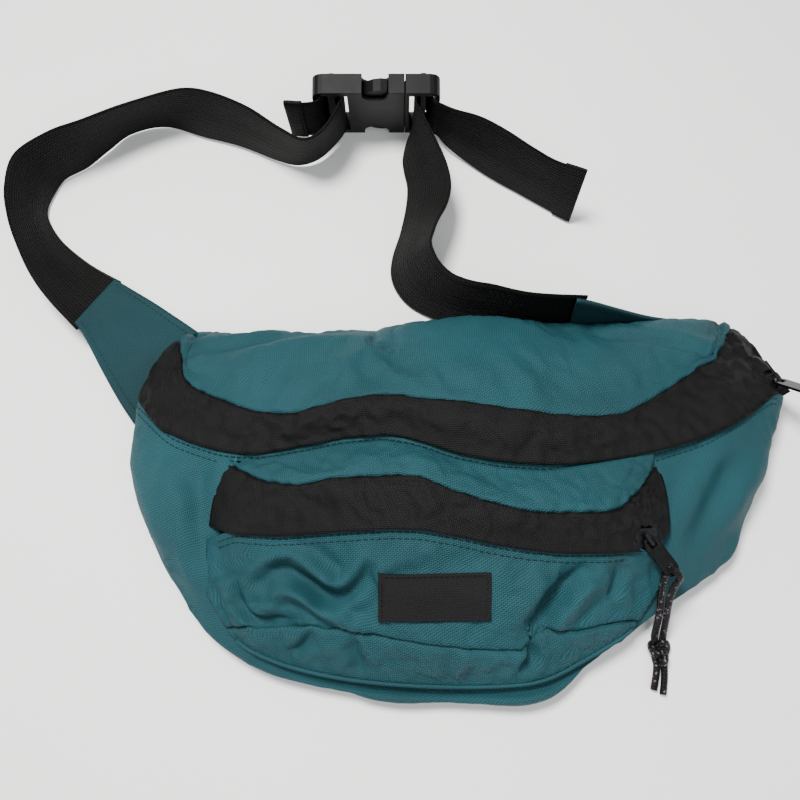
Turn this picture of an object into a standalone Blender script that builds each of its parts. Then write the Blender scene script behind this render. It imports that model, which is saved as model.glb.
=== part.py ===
"""Waist pack lying on its back panel, with its belt laid out behind it.

Lengths in the tables and constants are millimetres; MM turns them into metres
when a mesh is made.  The origin is in the middle of the back panel's underside.
The pack's front faces up (+Z), its top edge and the belt lie toward +Y, and +X
runs to the end where both zippers are closed.
"""

import math

import bmesh
import bpy
import numpy as np
from mathutils import Matrix, Vector
from mathutils.bvhtree import BVHTree

MM = 0.001

# Driving dimensions
WEBBING_WIDTH = 50.0
WEBBING_THICK = 1.8
FABRIC = 1.5
GAP = 0.4
BACK_THICK = 3.4
SEAM_Z = 5.0
WING_THICK = 2.2
LABEL_SIZE = (60.0, 27.0)
LABEL_THICK = 0.9
LABEL_AT = (-16.0, -64.0)
LABEL_SLOPE = 0.87
CORD_RADIUS = 2.0
CORD_STEP = 1.6
BAIL_TOP = 6.9
PIVOT_LIFT = 4.45
TAB_LENGTH = 26.0
TAB_WIDTH = 9.0
TAB_THICK = 1.6

# Each zipper runs on a circular arc: apex, radius, direction from the centre to
# the apex, the tilt of the tape's face from that direction and the turn of the
# whole arc about +Z through its apex (degrees)
MAIN_ZIP = {"apex": (2, 12, 55), "radius": 360, "lean": 57.0, "tilt": 57.0, "yaw": 3.0}
POCKET_ZIP = {"apex": (-13, -38, 61), "radius": 362, "lean": 27.0, "tilt": 0.0, "yaw": 0.0}
MAIN_ZIP_SPAN = (-30.3, 34.2)
POCKET_ZIP_SPAN = (-18.0, 19.5)
MAIN_SLIDER_AT = 32.8
POCKET_SLIDER_AT = 18.0
# Turn of a pull from the zipper's line to down the front, and its rise (degrees)
MAIN_PULL = (98.0, 46.0)
POCKET_PULL = (52.0, 8.0)

# Side-release buckle, in its own frame: X along the belt, Y across the webbing,
# Z out of its front face
BUCKLE_CENTRE = (-50.0, 279.0, 31.2)
BUCKLE_LEAN = 105.0
BUCKLE_HALF = (43.0, 30.0, 7.0)
BUCKLE_RAIL = 4.5
MOUTH_X = 19.0
PLUG_X = 19.6
ARM_PIVOT = (17.2, 19.0)

# Columns and rows of the sewn panels
STATIONS = 44
TOP_STEPS = 3
FRONT_STEPS = 3
POCKET_STEPS = 3


def material(name, colour, roughness, metallic=0.0):
    """A plain Principled material."""
    mat = bpy.data.materials.new(name)
    mat.use_nodes = True
    shader = mat.node_tree.nodes["Principled BSDF"]
    shader.inputs["Base Color"].default_value = (*colour, 1.0)
    shader.inputs["Roughness"].default_value = roughness
    shader.inputs["Metallic"].default_value = metallic
    return mat


def put(name, verts, faces, mat, smooth=False):
    """Makes one object from millimetre vertices, its faces turned outward."""
    mesh = bpy.data.meshes.new(name)
    mesh.from_pydata([tuple(np.array(v) * MM) for v in verts], [], faces)
    work = bmesh.new()
    work.from_mesh(mesh)
    bmesh.ops.recalc_face_normals(work, faces=work.faces)
    bmesh.ops.triangulate(work, faces=[f for f in work.faces if len(f.verts) > 4])
    work.to_mesh(mesh)
    work.free()
    if smooth:
        mesh.shade_smooth()
    if mat:
        mesh.materials.append(mat)
    obj = bpy.data.objects.new(name, mesh)
    bpy.context.scene.collection.objects.link(obj)
    return obj


def smooth_line(points, count):
    """Evenly spaced samples of the smooth curve that passes through the points."""
    pts = np.array(points, float)
    ends = np.vstack([2 * pts[0] - pts[1], pts, 2 * pts[-1] - pts[-2]])
    fine = []
    for i in range(len(pts) - 1):
        a, b, c, d = ends[i : i + 4]
        for t in np.linspace(0, 1, 16, endpoint=False):
            fine.append(
                0.5 * (2 * b + (c - a) * t + (2 * a - 5 * b + 4 * c - d) * t**2)
                + 0.5 * (3 * b - a - 3 * c + d) * t**3
            )
    fine = np.array(fine + [pts[-1]])
    steps = np.linalg.norm(np.diff(fine[:, :3], axis=0), axis=1)
    along = np.concatenate([[0], np.cumsum(steps)])
    want = np.linspace(0, along[-1], count)
    return np.column_stack([np.interp(want, along, col) for col in fine.T])


def loft(rails, steps):
    """Grid of points through the rails; a rail is every steps-th row."""
    lines = np.array([smooth_line(rail, STATIONS) for rail in rails])
    ends = np.concatenate([2 * lines[:1] - lines[1:2], lines, 2 * lines[-1:] - lines[-2:-1]])
    rows = []
    for i in range(len(lines) - 1):
        a, b, c, d = ends[i : i + 4]
        for t in np.linspace(0, 1, steps, endpoint=False):
            rows.append(
                0.5 * (2 * b + (c - a) * t + (2 * a - 5 * b + 4 * c - d) * t**2)
                + 0.5 * (3 * b - a - 3 * c + d) * t**3
            )
    return np.array(rows + [lines[-1]])


def outward(grid):
    """Unit normals of a grid whose rows run left to right, top row first."""
    down = np.gradient(grid, axis=0)
    right = np.gradient(grid, axis=1)
    normal = np.cross(down, right)
    return normal / np.linalg.norm(normal, axis=2, keepdims=True)


def shell(name, grid, normals, thick, mat, trim_top=0.0, trim_bottom=0.0):
    """A sewn panel: the grid is its outer face and it is thick mm thick inward."""
    outer = grid.copy()
    for row, neighbour, trim in ((0, 1, trim_top), (-1, -2, trim_bottom)):
        step = grid[neighbour] - grid[row]
        outer[row] += step * (trim / np.linalg.norm(step, axis=1, keepdims=True))
    inner = outer - normals * thick
    return grid_solid(name, outer, inner, mat)


def grid_solid(name, outer, inner, mat):
    """A closed solid between two grids of the same size."""
    rows, cols = outer.shape[:2]
    verts = list(outer.reshape(-1, 3)) + list(inner.reshape(-1, 3))
    size = rows * cols
    faces = []
    for r in range(rows - 1):
        for c in range(cols - 1):
            a, b = r * cols + c, (r + 1) * cols + c
            faces.append((a, b, b + 1, a + 1))
            faces.append((size + a, size + a + 1, size + b + 1, size + b))
    rim = list(range(cols))
    rim += [r * cols + cols - 1 for r in range(1, rows)]
    rim += [(rows - 1) * cols + c for c in range(cols - 2, -1, -1)]
    rim += [r * cols for r in range(rows - 2, 0, -1)]
    for a, b in zip(rim, rim[1:] + rim[:1]):
        faces.append((a, b, size + b, size + a))
    return put(name, verts, faces, mat, smooth=True)


def arc_frame(zipper, degrees):
    """Point on a zipper's arc, with its along, across (down the front) and normal."""
    lean = math.radians(zipper["lean"])
    toward = np.array([0, -math.sin(lean), math.cos(lean)])
    axis = np.array([0, math.cos(lean), math.sin(lean)])
    centre = np.array(zipper["apex"], float) - zipper["radius"] * toward
    turn = math.radians(degrees)
    radial = np.array([math.sin(turn), 0, 0]) + toward * math.cos(turn)
    along = np.array([math.cos(turn), 0, 0]) - toward * math.sin(turn)
    tilt = math.radians(zipper["tilt"])
    normal = radial * math.cos(tilt) + axis * math.sin(tilt)
    across = radial * math.sin(tilt) - axis * math.cos(tilt)
    apex = np.array(zipper["apex"], float)
    spin = np.array(Matrix.Rotation(math.radians(zipper["yaw"]), 3, "Z"))
    point = apex + spin @ (centre + radial * zipper["radius"] - apex)
    centre = apex + spin @ (centre - apex)
    return point, spin @ along, spin @ across, spin @ normal, spin @ axis, centre


def on_arc(zipper, degrees, across, lift):
    """Point beside a zipper: across its line and lifted off its tape."""
    point, _, side, normal, _, _ = arc_frame(zipper, degrees)
    return point + side * across + normal * lift


def arc_rail(zipper, span, across, lift, count=9):
    """Points along a zipper at one offset, from left to right."""
    return [on_arc(zipper, a, across, lift) for a in np.linspace(*span, count)]


def tape(name, zipper, span, side, mat, width):
    """Half a zipper: a woven tape with its coil along the edge."""
    profile = [
        (0.8, -1.5),
        (3.0, -1.5),
        (3.4, -0.5),
        (width, -0.5),
        (width, 0.5),
        (3.4, 0.5),
        (3.0, 1.1),
        (0.8, 1.1),
    ]
    count = 40
    verts = []
    for angle in np.linspace(*span, count):
        verts += [on_arc(zipper, angle, side * u, v) for u, v in profile]
    faces = []
    n = len(profile)
    for k in range(count - 1):
        for i in range(n):
            j = (i + 1) % n
            faces.append((k * n + i, k * n + j, (k + 1) * n + j, (k + 1) * n + i))
    last = (count - 1) * n
    for base in (0, last):
        faces.append((base, base + 1, base + 6, base + 7))
        faces.append((base + 1, base + 2, base + 5, base + 6))
        faces.append((base + 2, base + 3, base + 4, base + 5))
    return put(name, verts, faces, mat)


def frame_empty(name, point, along, across, normal):
    """An empty on a joint's axis, its X, Y and Z along the three directions."""
    empty = bpy.data.objects.new(name, None)
    bpy.context.scene.collection.objects.link(empty)
    basis = Matrix((along, across, normal)).transposed().to_4x4()
    basis.translation = Vector(point) * MM
    empty.matrix_world = basis
    return empty


def block(name, low, high, mat=None):
    """A box between two corners."""
    (x0, y0, z0), (x1, y1, z1) = low, high
    verts = [(x, y, z) for z in (z0, z1) for y in (y0, y1) for x in (x0, x1)]
    faces = [(0, 1, 3, 2), (4, 5, 7, 6), (0, 1, 5, 4), (2, 3, 7, 6), (0, 2, 6, 4), (1, 3, 7, 5)]
    return put(name, verts, faces, mat)


def prism(name, outline, z0, z1, mat=None):
    """A flat outline extruded between two heights."""
    verts = [(x, y, z0) for x, y in outline] + [(x, y, z1) for x, y in outline]
    n = len(outline)
    faces = [tuple(range(n)), tuple(range(n, 2 * n))]
    faces += [(i, (i + 1) % n, (i + 1) % n + n, i + n) for i in range(n)]
    return put(name, verts, faces, mat)


def rounded_box(half_x, half_y, radius, steps=4, corners=(1, 1, 1, 1)):
    """Outline of a rectangle, with chosen corners rounded."""
    out = []
    spots = [(1, 1, 0), (-1, 1, 90), (-1, -1, 180), (1, -1, 270)]
    for (sx, sy, start), rounded in zip(spots, corners):
        cx, cy = sx * half_x, sy * half_y
        if not rounded:
            out.append((cx, cy))
            continue
        cx -= sx * radius
        cy -= sy * radius
        for k in range(steps + 1):
            a = math.radians(start + 90 * k / steps)
            out.append((cx + radius * math.cos(a), cy + radius * math.sin(a)))
    return out


def hide(cutter, parent=None):
    """Marks a cutter so that it is a guide and not a part."""
    cutter.hide_render = True
    cutter.display_type = "WIRE"
    cutter.parent = parent


def combine(obj, other, operation, parent=None):
    """Adds a Boolean modifier."""
    hide(other, parent)
    mod = obj.modifiers.new(operation.lower(), "BOOLEAN")
    mod.operation = operation
    mod.object = other
    mod.solver = "EXACT"


def soften(obj, width, segments=1):
    """Breaks the sharp edges of a moulded piece."""
    mod = obj.modifiers.new("edge", "BEVEL")
    mod.width = width * MM
    mod.segments = segments
    mod.limit_method = "ANGLE"
    mod.angle_limit = math.radians(50)


# ---------------------------------------------------------------- pack body

# Seam lines of the main compartment, each from the left end to the right end
TOP_SEAM = [
    (-162, 97, 5), (-148, 98, 5), (-100, 98, 5), (-50, 103, 5), (0, 107, 5),
    (50, 108, 5), (100, 108, 5), (150, 107, 5), (176, 107, 5),
]
TOP_ROLL = [
    (-168, 99, 5), (-163, 105, 17), (-110, 103, 20), (-55, 108, 20), (0, 113, 20),
    (55, 114, 20), (110, 113, 20), (150, 114, 18), (177, 115, 14), (183, 105, 5),
]
TOP_SLOPE = [
    (-174, 96, 5), (-168, 97, 23), (-120, 80, 36), (-58, 80, 42), (0, 80, 44),
    (58, 80, 42), (112, 82, 38), (154, 97, 28), (179, 108, 18), (188, 101, 5),
]
FLAP_SEAM = [
    (-180, 91, 5), (-174, 91, 28), (-163, 74, 38), (-143, 54, 48), (-112, 44, 55),
    (-58, 46, 63), (0, 42, 66), (60, 38, 63), (102, 43, 55), (140, 63, 44),
    (160, 82, 36), (180, 98, 24), (191, 95, 5),
]
FLAP_LEFT_END = [(-189, 57, 5), (-195, 61, 26)]
FLAP_RIGHT_END = [(199, 66, 27), (196, 61, 5)]
FRONT_TOP_LEFT = [(-192, 47, 5), (-197, 48, 22)]
FRONT_TOP_RIGHT = [(201, 47, 22), (196, 44, 5)]
FRONT_BULGE = [
    (-188, 9, 5), (-193, 11, 24), (-168, -17, 36), (-120, -34, 33), (-60, -46, 34),
    (0, -52, 34), (60, -46, 34), (108, -28, 32), (150, -2, 34), (180, 15, 24), (176, 12, 5),
]
FRONT_LOW = [
    (-171, -32, 5), (-173, -34, 18), (-148, -64, 20), (-106, -86, 19), (-53, -96, 19),
    (0, -100, 19), (40, -99, 19), (74, -84, 19), (106, -64, 19), (134, -46, 19),
    (163, -25, 17), (160, -22, 5),
]
BOTTOM_ROLL = [
    (-161, -46, 5), (-162, -52, 12), (-143, -77, 14), (-108, -98, 14), (-53, -110, 14),
    (0, -113, 14), (42, -112, 14), (74, -93, 14), (104, -71, 14), (132, -53, 14),
    (154, -38, 12), (154, -31, 5),
]
BOTTOM_SEAM = [
    (-154, -56, 5), (-137, -74, 5), (-105, -93, 5), (-53, -104, 5), (0, -108, 5),
    (40, -107, 5), (70, -89, 5), (100, -67, 5), (130, -48, 5), (147, -37, 5),
]


def top_surface():
    """Outer face over the top panel and the flap, down to the flap's free edge."""
    free_edge = FLAP_LEFT_END + arc_rail(MAIN_ZIP, (-29, 30), 1.2, 9.4) + FLAP_RIGHT_END
    return loft([TOP_SEAM, TOP_ROLL, TOP_SLOPE, FLAP_SEAM, free_edge], TOP_STEPS)


def front_surface():
    """Outer face of the main compartment below its zipper."""
    upper = FRONT_TOP_LEFT + arc_rail(MAIN_ZIP, (-28, 29), 8.5, 3.2) + FRONT_TOP_RIGHT
    return loft([upper, FRONT_BULGE, FRONT_LOW, BOTTOM_ROLL, BOTTOM_SEAM], FRONT_STEPS)


def main_compartment(mats):
    """Back panel, top panel, flap and front panel."""
    top = top_surface()
    normals = outward(top)
    seam = 3 * TOP_STEPS
    shell("main_top_panel", top[: seam + 1], normals[: seam + 1], FABRIC, mats["teal"], 0, GAP)
    flap = shell("main_flap", top[seam:], normals[seam:], FABRIC, mats["black"], GAP, 0)
    notch(flap, MAIN_ZIP, MAIN_SLIDER_AT, (-16, 24), (-16, 12))
    front = front_surface()
    panel = shell("main_front_panel", front, outward(front), FABRIC, mats["teal"])
    notch(panel, MAIN_ZIP, MAIN_SLIDER_AT, (-9, 14), (-12, 7))
    back_panel(top, front, mats["back"])
    return front


def notch(panel, zipper, degrees, along, across):
    """Cuts a panel away around the place where a slider stops."""
    point, tangent, side, normal, _, _ = arc_frame(zipper, degrees)
    frame = frame_empty(panel.name + "_notch_frame", point, tangent, side, normal)
    cutter = block(
        panel.name + "_notch", (along[0], across[0], -9), (along[1], across[1], 26)
    )
    combine(panel, cutter, "DIFFERENCE", frame)


def back_panel(top, front, mat):
    """The flat padded panel that the pack lies on, under the whole outline."""
    ring = list(top[0]) + list(top[1:, -1]) + list(front[1:, -1])
    ring += list(front[-1][::-1]) + list(front[:-1, 0][::-1]) + list(top[1:, 0][::-1])
    outline = smooth_line([(p[0], p[1], 0) for p in ring[::4]] + [(*ring[0][:2], 0)], 90)[:-1]
    prism("back_panel", [(p[0], p[1]) for p in outline], 0.0, BACK_THICK, mat)


# ------------------------------------------------------------- front pocket

POCKET_LEFT = [(-128, 10), (-138, -8), (-141, -26), (-143, -44), (-140, -62), (-130, -76)]
POCKET_RIGHT = [(108, 7), (116, -7), (118, -24), (117, -42), (109, -60), (99, -72)]
POCKET_TOP_X = (-112, -75, -35, 5, 45, 80, 96)
POCKET_FLAP_SEAM = [
    (-112, -2, 56), (-92, -6, 64), (-66, -4, 69), (-35, -4, 73), (-2, -11, 74),
    (29, -18, 73), (54, -20, 69), (78, -18, 62), (98, -6, 54),
]
POCKET_FOLD = [
    (-118, -76, 30), (-92, -78, 38), (-58, -82, 40), (-20, -88, 40), (20, -90, 39),
    (58, -82, 36), (86, -74, 30),
]
POCKET_BOTTOM = [
    (-113, -89), (-90, -97), (-58, -103), (-20, -106), (20, -106), (44, -103), (66, -93),
    (86, -82),
]


def height_of(grid):
    """A function that gives a surface's height over a spot in plan."""
    rows, cols = grid.shape[:2]
    faces = []
    for r in range(rows - 1):
        for c in range(cols - 1):
            a, b = r * cols + c, (r + 1) * cols + c
            faces.append((a, b, b + 1))
            faces.append((a, b + 1, a + 1))
    tree = BVHTree.FromPolygons([tuple(p) for p in grid.reshape(-1, 3)], faces)

    def height(x, y):
        hit = tree.ray_cast(Vector((x, y, 200)), Vector((0, 0, -1)))
        return hit[0].z if hit[0] else SEAM_Z

    return height


def pocket(mats, front):
    """The front pocket: top panel, flap, front panel and bottom gusset."""
    height = height_of(front)
    lift = FABRIC + GAP + 0.4

    def rest(points):
        return [(x, y, height(x, y) + lift) for x, y in points]

    def clear(points):
        return [(x, y, max(z, height(x, y) + lift + 1.5)) for x, y, z in points]

    left = rest(POCKET_LEFT)
    right = rest(POCKET_RIGHT)
    top_points = [(x, zip_side(x)) for x in POCKET_TOP_X]
    top = [left[0]] + rest(top_points) + [right[0]]
    seam = [left[1]] + clear(POCKET_FLAP_SEAM) + [right[1]]
    edge = [left[2]] + arc_rail(POCKET_ZIP, (-18, 18), 2.0, 11.2) + [right[2]]
    upper = loft([top, seam, edge], POCKET_STEPS)
    normals = outward(upper)
    cut = POCKET_STEPS
    shell("pocket_top_panel", upper[: cut + 1], normals[: cut + 1], FABRIC, mats["teal"], 0, GAP)
    flap = shell("pocket_flap", upper[cut:], normals[cut:], FABRIC, mats["black"], GAP, 0)
    notch(flap, POCKET_ZIP, POCKET_SLIDER_AT, (-11, 30), (-11, 20))
    front_edge = [left[3]] + arc_rail(POCKET_ZIP, (-17.5, 17.5), 8.5, 3.2) + [right[3]]
    fold = [left[5]] + clear(POCKET_FOLD) + [right[5]]
    bottom = rest(POCKET_BOTTOM)
    lower = loft([front_edge, fold, bottom], POCKET_STEPS)
    normals = outward(lower)
    panel = shell(
        "pocket_front_panel", lower[: cut + 1], normals[: cut + 1], FABRIC, mats["teal"], 0, GAP
    )
    notch(panel, POCKET_ZIP, POCKET_SLIDER_AT, (-9, 14), (-12, 7))
    shell("pocket_gusset", lower[cut:], normals[cut:], FABRIC, mats["teal"], GAP, 0)
    return lower


def zip_side(x):
    """Plan position of the pocket's upper seam, just below the main zipper."""
    zipper = MAIN_ZIP
    angle = math.degrees(math.asin((x - zipper["apex"][0]) / zipper["radius"]))
    return on_arc(zipper, angle, 15.0, 0)[1]


def label(mats, lower):
    """The sewn patch, laid on the pocket's front panel, which slopes down the front."""
    height = height_of(lower)
    cx, cy = LABEL_AT
    xs = cx + np.linspace(-0.5, 0.5, 9) * LABEL_SIZE[0]
    ys = cy + np.linspace(0.5, -0.5, 5) * LABEL_SIZE[1] * LABEL_SLOPE
    under = np.array([[(x, y, height(x, y) + GAP + 0.3) for x in xs] for y in ys])
    over = under + np.array([0, -0.3, LABEL_THICK])
    grid_solid("label_patch", over, under, mats["label"])


# ------------------------------------------------------------------ zippers


def slider(name, mats, frame, bail_frame):
    """Two plates joined by a web between the tapes, with the bail on top."""
    width, length = 5.4, 7.0
    plate = rounded_box(length, width, 2.4, 3)
    body = prism(name, plate, 1.7, 2.9, mats["metal"])
    combine(body, prism(name + "_lower", plate, -3.1, -1.9), "UNION", frame)
    combine(body, block(name + "_web", (-4.0, -0.45, -2.5), (4.0, 0.45, 2.3)), "UNION", frame)
    bail = prism(name + "_bail", rounded_box(4.3, 1.1, 1.0, 2), 2.4, BAIL_TOP)
    combine(body, bail, "UNION", bail_frame)
    eye = block(name + "_eye", (-2.6, -3.0, PIVOT_LIFT - 1.55), (2.6, 3.0, PIVOT_LIFT + 1.55))
    combine(body, eye, "DIFFERENCE", bail_frame)
    body.parent = frame
    return body


def pull_tab(name, mats, frame):
    """A flat pull with an eye that passes under the bail and a hole at its tip."""
    half = TAB_WIDTH / 2
    outline = [(-1.0, -half + 2), (3, -half), (TAB_LENGTH - half, -half)]
    for k in range(1, 8):
        a = math.radians(-90 + 180 * k / 8)
        outline.append((TAB_LENGTH - half + half * math.cos(a), half * math.sin(a)))
    outline += [(TAB_LENGTH - half, half), (3, half), (-1.0, half - 2)]
    tab = prism(name, outline, -TAB_THICK / 2, TAB_THICK / 2, mats["pull"])
    eye = block(name + "_bail_hole", (1.0, -2.2, -4), (6.0, 2.2, 4))
    combine(tab, eye, "DIFFERENCE", frame)
    ring = [(2.6 * math.cos(a), 2.6 * math.sin(a)) for a in np.linspace(0, 2 * math.pi, 13)[:-1]]
    hole = prism(name + "_tip_hole", [(x + TAB_LENGTH - half, y) for x, y in ring], -4, 4)
    combine(tab, hole, "DIFFERENCE", frame)
    tab.parent = frame
    return tab


def slider_and_tab(prefix, mats, zipper, at, pull_at):
    """A slider on its arc, with its bail turned and its pull raised by pull_at."""
    swing, raise_by = pull_at
    point, along, across, normal, _, _ = arc_frame(zipper, at)
    travel = frame_empty(prefix + "_slider_frame", point, along, across, normal)
    turn = math.radians(swing)
    pull = along * math.cos(turn) + across * math.sin(turn)
    hinge = np.cross(pull, normal)
    bail = frame_empty(prefix + "_bail_frame", point, pull, -hinge, normal)
    slider(prefix + "_slider", mats, travel, bail)
    up = math.radians(raise_by)
    reach = pull * math.cos(up) + normal * math.sin(up)
    face = np.cross(hinge, reach)
    pivot = point + normal * PIVOT_LIFT
    basis = frame_empty(prefix + "_pull_frame", pivot, reach, -hinge, face)
    pull_tab(prefix + "_pull_tab", mats, basis)


# ------------------------------------------------------------------- ribbons


def ribbon(name, stations, mat, count, thick=WEBBING_THICK):
    """Webbing through stations of its two edges, (x, y, z) of each."""
    line = smooth_line(stations, count)
    first, second = line[:, :3], line[:, 3:]
    middle = (first + second) / 2
    across = second - first
    across /= np.linalg.norm(across, axis=1, keepdims=True)
    first = middle - across * WEBBING_WIDTH / 2
    second = middle + across * WEBBING_WIDTH / 2
    along = np.gradient(middle, axis=0)
    normal = np.cross(along, across)
    normal /= np.linalg.norm(normal, axis=1, keepdims=True)
    edges = np.array([first, middle, second])
    outer = edges + normal * thick / 2
    inner = edges - normal * thick / 2
    return grid_solid(name, outer, inner, mat)


def wing(name, outline, mat, thick_along):
    """A flat hip wing through its corner points, thickened along one direction."""
    step = np.array(thick_along) * WING_THICK
    verts = [np.array(p, float) + step for p in outline] + [np.array(p, float) for p in outline]
    n = len(outline)
    faces = [tuple(range(n)), tuple(range(n, 2 * n))]
    faces += [(i, (i + 1) % n, (i + 1) % n + n, i + n) for i in range(n)]
    return put(name, verts, faces, mat)


# Edges of the belt: the edge on the table, then the upper edge
LEFT_BELT = [
    (-222, 151, 5, -239, 111, 19),
    (-246, 169, 3, -256, 124, 27),
    (-266, 186, 2, -271, 143, 30),
    (-278, 202, 1.5, -282, 165, 35),
    (-281, 213, 1.5, -288, 182, 40),
    (-278, 226, 1.5, -292, 203, 43),
    (-272, 238, 1.5, -288, 225, 47),
    (-258, 248, 1.5, -268, 240, 50),
    (-244, 263, 1.5, -246, 250, 51),
    (-230, 278, 1.5, -218, 266, 48),
    (-204, 284, 1.5, -186, 278, 48),
    (-174, 274, 1.5, -162, 273, 51),
    (-148, 266, 1.5, -137, 261, 51),
    (-122, 254, 1.5, -113, 243, 51),
    (-106, 250, 2, -98, 235, 50),
    (-92, 254, 4, -86, 240, 52),
    (-80, 266, 6, -78, 252, 54),
    (-74, 276, 6.5, -74, 262, 54.5),
]
RIGHT_BELT = [
    (80, 120.5, 1.5, 80, 116.8, 50),
    (47, 120.5, 1.5, 47, 118.6, 50.5),
    (22, 120.5, 1.5, 24, 124, 51),
    (2, 122, 1.5, 14, 127, 49),
    (-14, 127, 1.5, 5, 131, 48),
    (-27, 135, 1.5, -3, 137, 45),
    (-36, 146, 1.5, -10, 146, 45),
    (-40, 159, 1.5, -14, 158, 44),
    (-39, 174, 1.5, -12, 168, 43),
    (-34, 192, 1.5, -9, 177, 42),
    (-30, 213, 1.5, -3, 192, 38),
    (-29, 230, 1.5, 0, 208, 37),
    (-31, 243, 2, -3, 224, 39),
    (-32, 254, 3, -10, 238, 45),
    (-29, 266, 5, -18, 252, 51),
    (-25, 276, 6.5, -24, 262, 54.5),
]
RIGHT_TAIL = [
    (0, 264, 5, 3, 255, 54),
    (14, 252, 2, 20, 251, 52),
    (32, 238, 1.5, 37, 240, 51),
    (51, 225, 1.5, 54, 226, 51),
    (67, 214, 1.5, 68, 216, 51),
    (84, 203, 1.5, 87, 208, 51),
]
# Bights of the webbing around the buckle's bars, in the buckle's X and Z
LEFT_BIGHT = [
    (-23.8, 6.4), (-23.8, 0), (-24.6, -5.6), (-27, -8.9), (-30.3, -9.8), (-33.4, -8.9),
    (-35.4, -5.6), (-35.6, 0), (-36.4, 5.4), (-39.2, 9.2), (-44, 10.6), (-53, 11), (-62, 10.2),
]
RIGHT_BIGHT = [
    (26.4, 6.4), (26.4, 0), (27, -5.6), (29, -8.9), (31.8, -9.8), (34.6, -8.9),
    (36.3, -5.6), (36.5, 0), (37.2, 5.4), (39.6, 9.4), (43.5, 11.4),
]
LEFT_WING = [
    (-235, 110, 17), (-217, 147, 4), (-190, 131, 3), (-160, 113, 3), (-166, 108, 3),
    (-176, 104, 4), (-184, 94, 5), (-194, 74, 7), (-201, 56, 11), (-204, 52, 13),
]
RIGHT_WING = [
    (82, 119.5, 1.5), (82, 116.2, 47.5), (102, 116.8, 34), (124, 117.2, 21.5), (146, 117.4, 14.5),
    (160, 117.6, 9.5), (160, 118, 1.5),
]


def bight(points):
    """Stations of webbing that passes around a bar of the buckle."""
    lean = math.radians(BUCKLE_LEAN)
    across = np.array([0, math.cos(lean), math.sin(lean)])
    out = np.array([0, -math.sin(lean), math.cos(lean)])
    middle = np.array(BUCKLE_CENTRE)
    half = across * WEBBING_WIDTH / 2
    spots = [middle + np.array([x, 0, 0]) + out * z for x, z in points]
    return [(*(spot - half), *(spot + half)) for spot in spots]


def belt(mats):
    """Wings, belt webbing and free ends."""
    ribbon("webbing_left", LEFT_BELT, mats["webbing"], 40)
    ribbon("webbing_right", RIGHT_BELT, mats["webbing"], 34)
    ribbon("tail_left", bight(LEFT_BIGHT), mats["webbing"], 34)
    ribbon("tail_right", bight(RIGHT_BIGHT) + RIGHT_TAIL, mats["webbing"], 60)


# -------------------------------------------------------------------- buckle


def buckle(mats):
    """Dual-adjust side-release buckle, closed, standing on its long edge."""
    lean = math.radians(BUCKLE_LEAN)
    across = (0, math.cos(lean), math.sin(lean))
    out = (0, -math.sin(lean), math.cos(lean))
    frame = frame_empty("buckle_frame", BUCKLE_CENTRE, (1, 0, 0), across, out)
    hx, hy, hz = BUCKLE_HALF
    inner_y = hy - BUCKLE_RAIL
    outline = [(x - (hx - MOUTH_X) / 2, y) for x, y in
               rounded_box((hx + MOUTH_X) / 2, hy, 7, 4, (0, 1, 1, 0))]
    socket = prism("buckle_socket", outline, -hz, hz, mats["plastic"])
    for k, (x0, x1) in enumerate(((-38.5, -32.5), (-28, -19.5))):
        slot = block(f"socket_slot_{k}", (x0, -inner_y, -9), (x1, inner_y, 9))
        combine(socket, slot, "DIFFERENCE", frame)
    cavity = block("socket_cavity", (-14, -25.8, -4.8), (25, 25.8, 4.8))
    combine(socket, cavity, "DIFFERENCE", frame)
    for side in (-1, 1):
        near, far = sorted((side * 24.6, side * 40))
        window = block(f"socket_window_{side + 1}", (-9.5, near, -9), (8.2, far, 9))
        combine(socket, window, "DIFFERENCE", frame)
        arc = np.linspace(0, 2 * math.pi, 21)[:-1]
        oval = [(-1 + 8.4 * math.cos(a), side * 26 + 6.5 * math.sin(a)) for a in arc]
        thumb = prism(f"socket_thumb_{side + 1}", oval, -9, 9)
        combine(socket, thumb, "DIFFERENCE", frame)
    soften(socket, 0.8)
    socket.parent = frame
    plug(mats, frame, inner_y)
    for side, word in ((1, "upper"), (-1, "lower")):
        arm(mats, frame, side, "buckle_arm_" + word)
    return frame


def plug(mats, frame, inner_y):
    """The half that pulls out: webbing frame, crosspiece and guide tongue."""
    hx, hy, hz = BUCKLE_HALF
    middle = (hx + PLUG_X) / 2
    outline = [(x + middle, y) for x, y in
               rounded_box((hx - PLUG_X) / 2, hy, 7, 4, (1, 0, 0, 1))]
    base = prism("buckle_plug", outline, -hz, hz, mats["plastic"])
    for k, (x0, x1) in enumerate(((22.4, 30.0), (33.5, 39.5))):
        slot = block(f"plug_slot_{k}", (x0, -inner_y, -9), (x1, inner_y, 9))
        combine(base, slot, "DIFFERENCE", frame)
    cross = block("plug_crosspiece", (18.2, -25.2, -4.3), (21.5, 25.2, 4.3))
    combine(base, cross, "UNION", frame)
    tongue = block("plug_tongue", (-11, -3, -3.4), (19, 3, 3.4))
    combine(base, tongue, "UNION", frame)
    soften(base, 0.8)
    base.parent = frame


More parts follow.
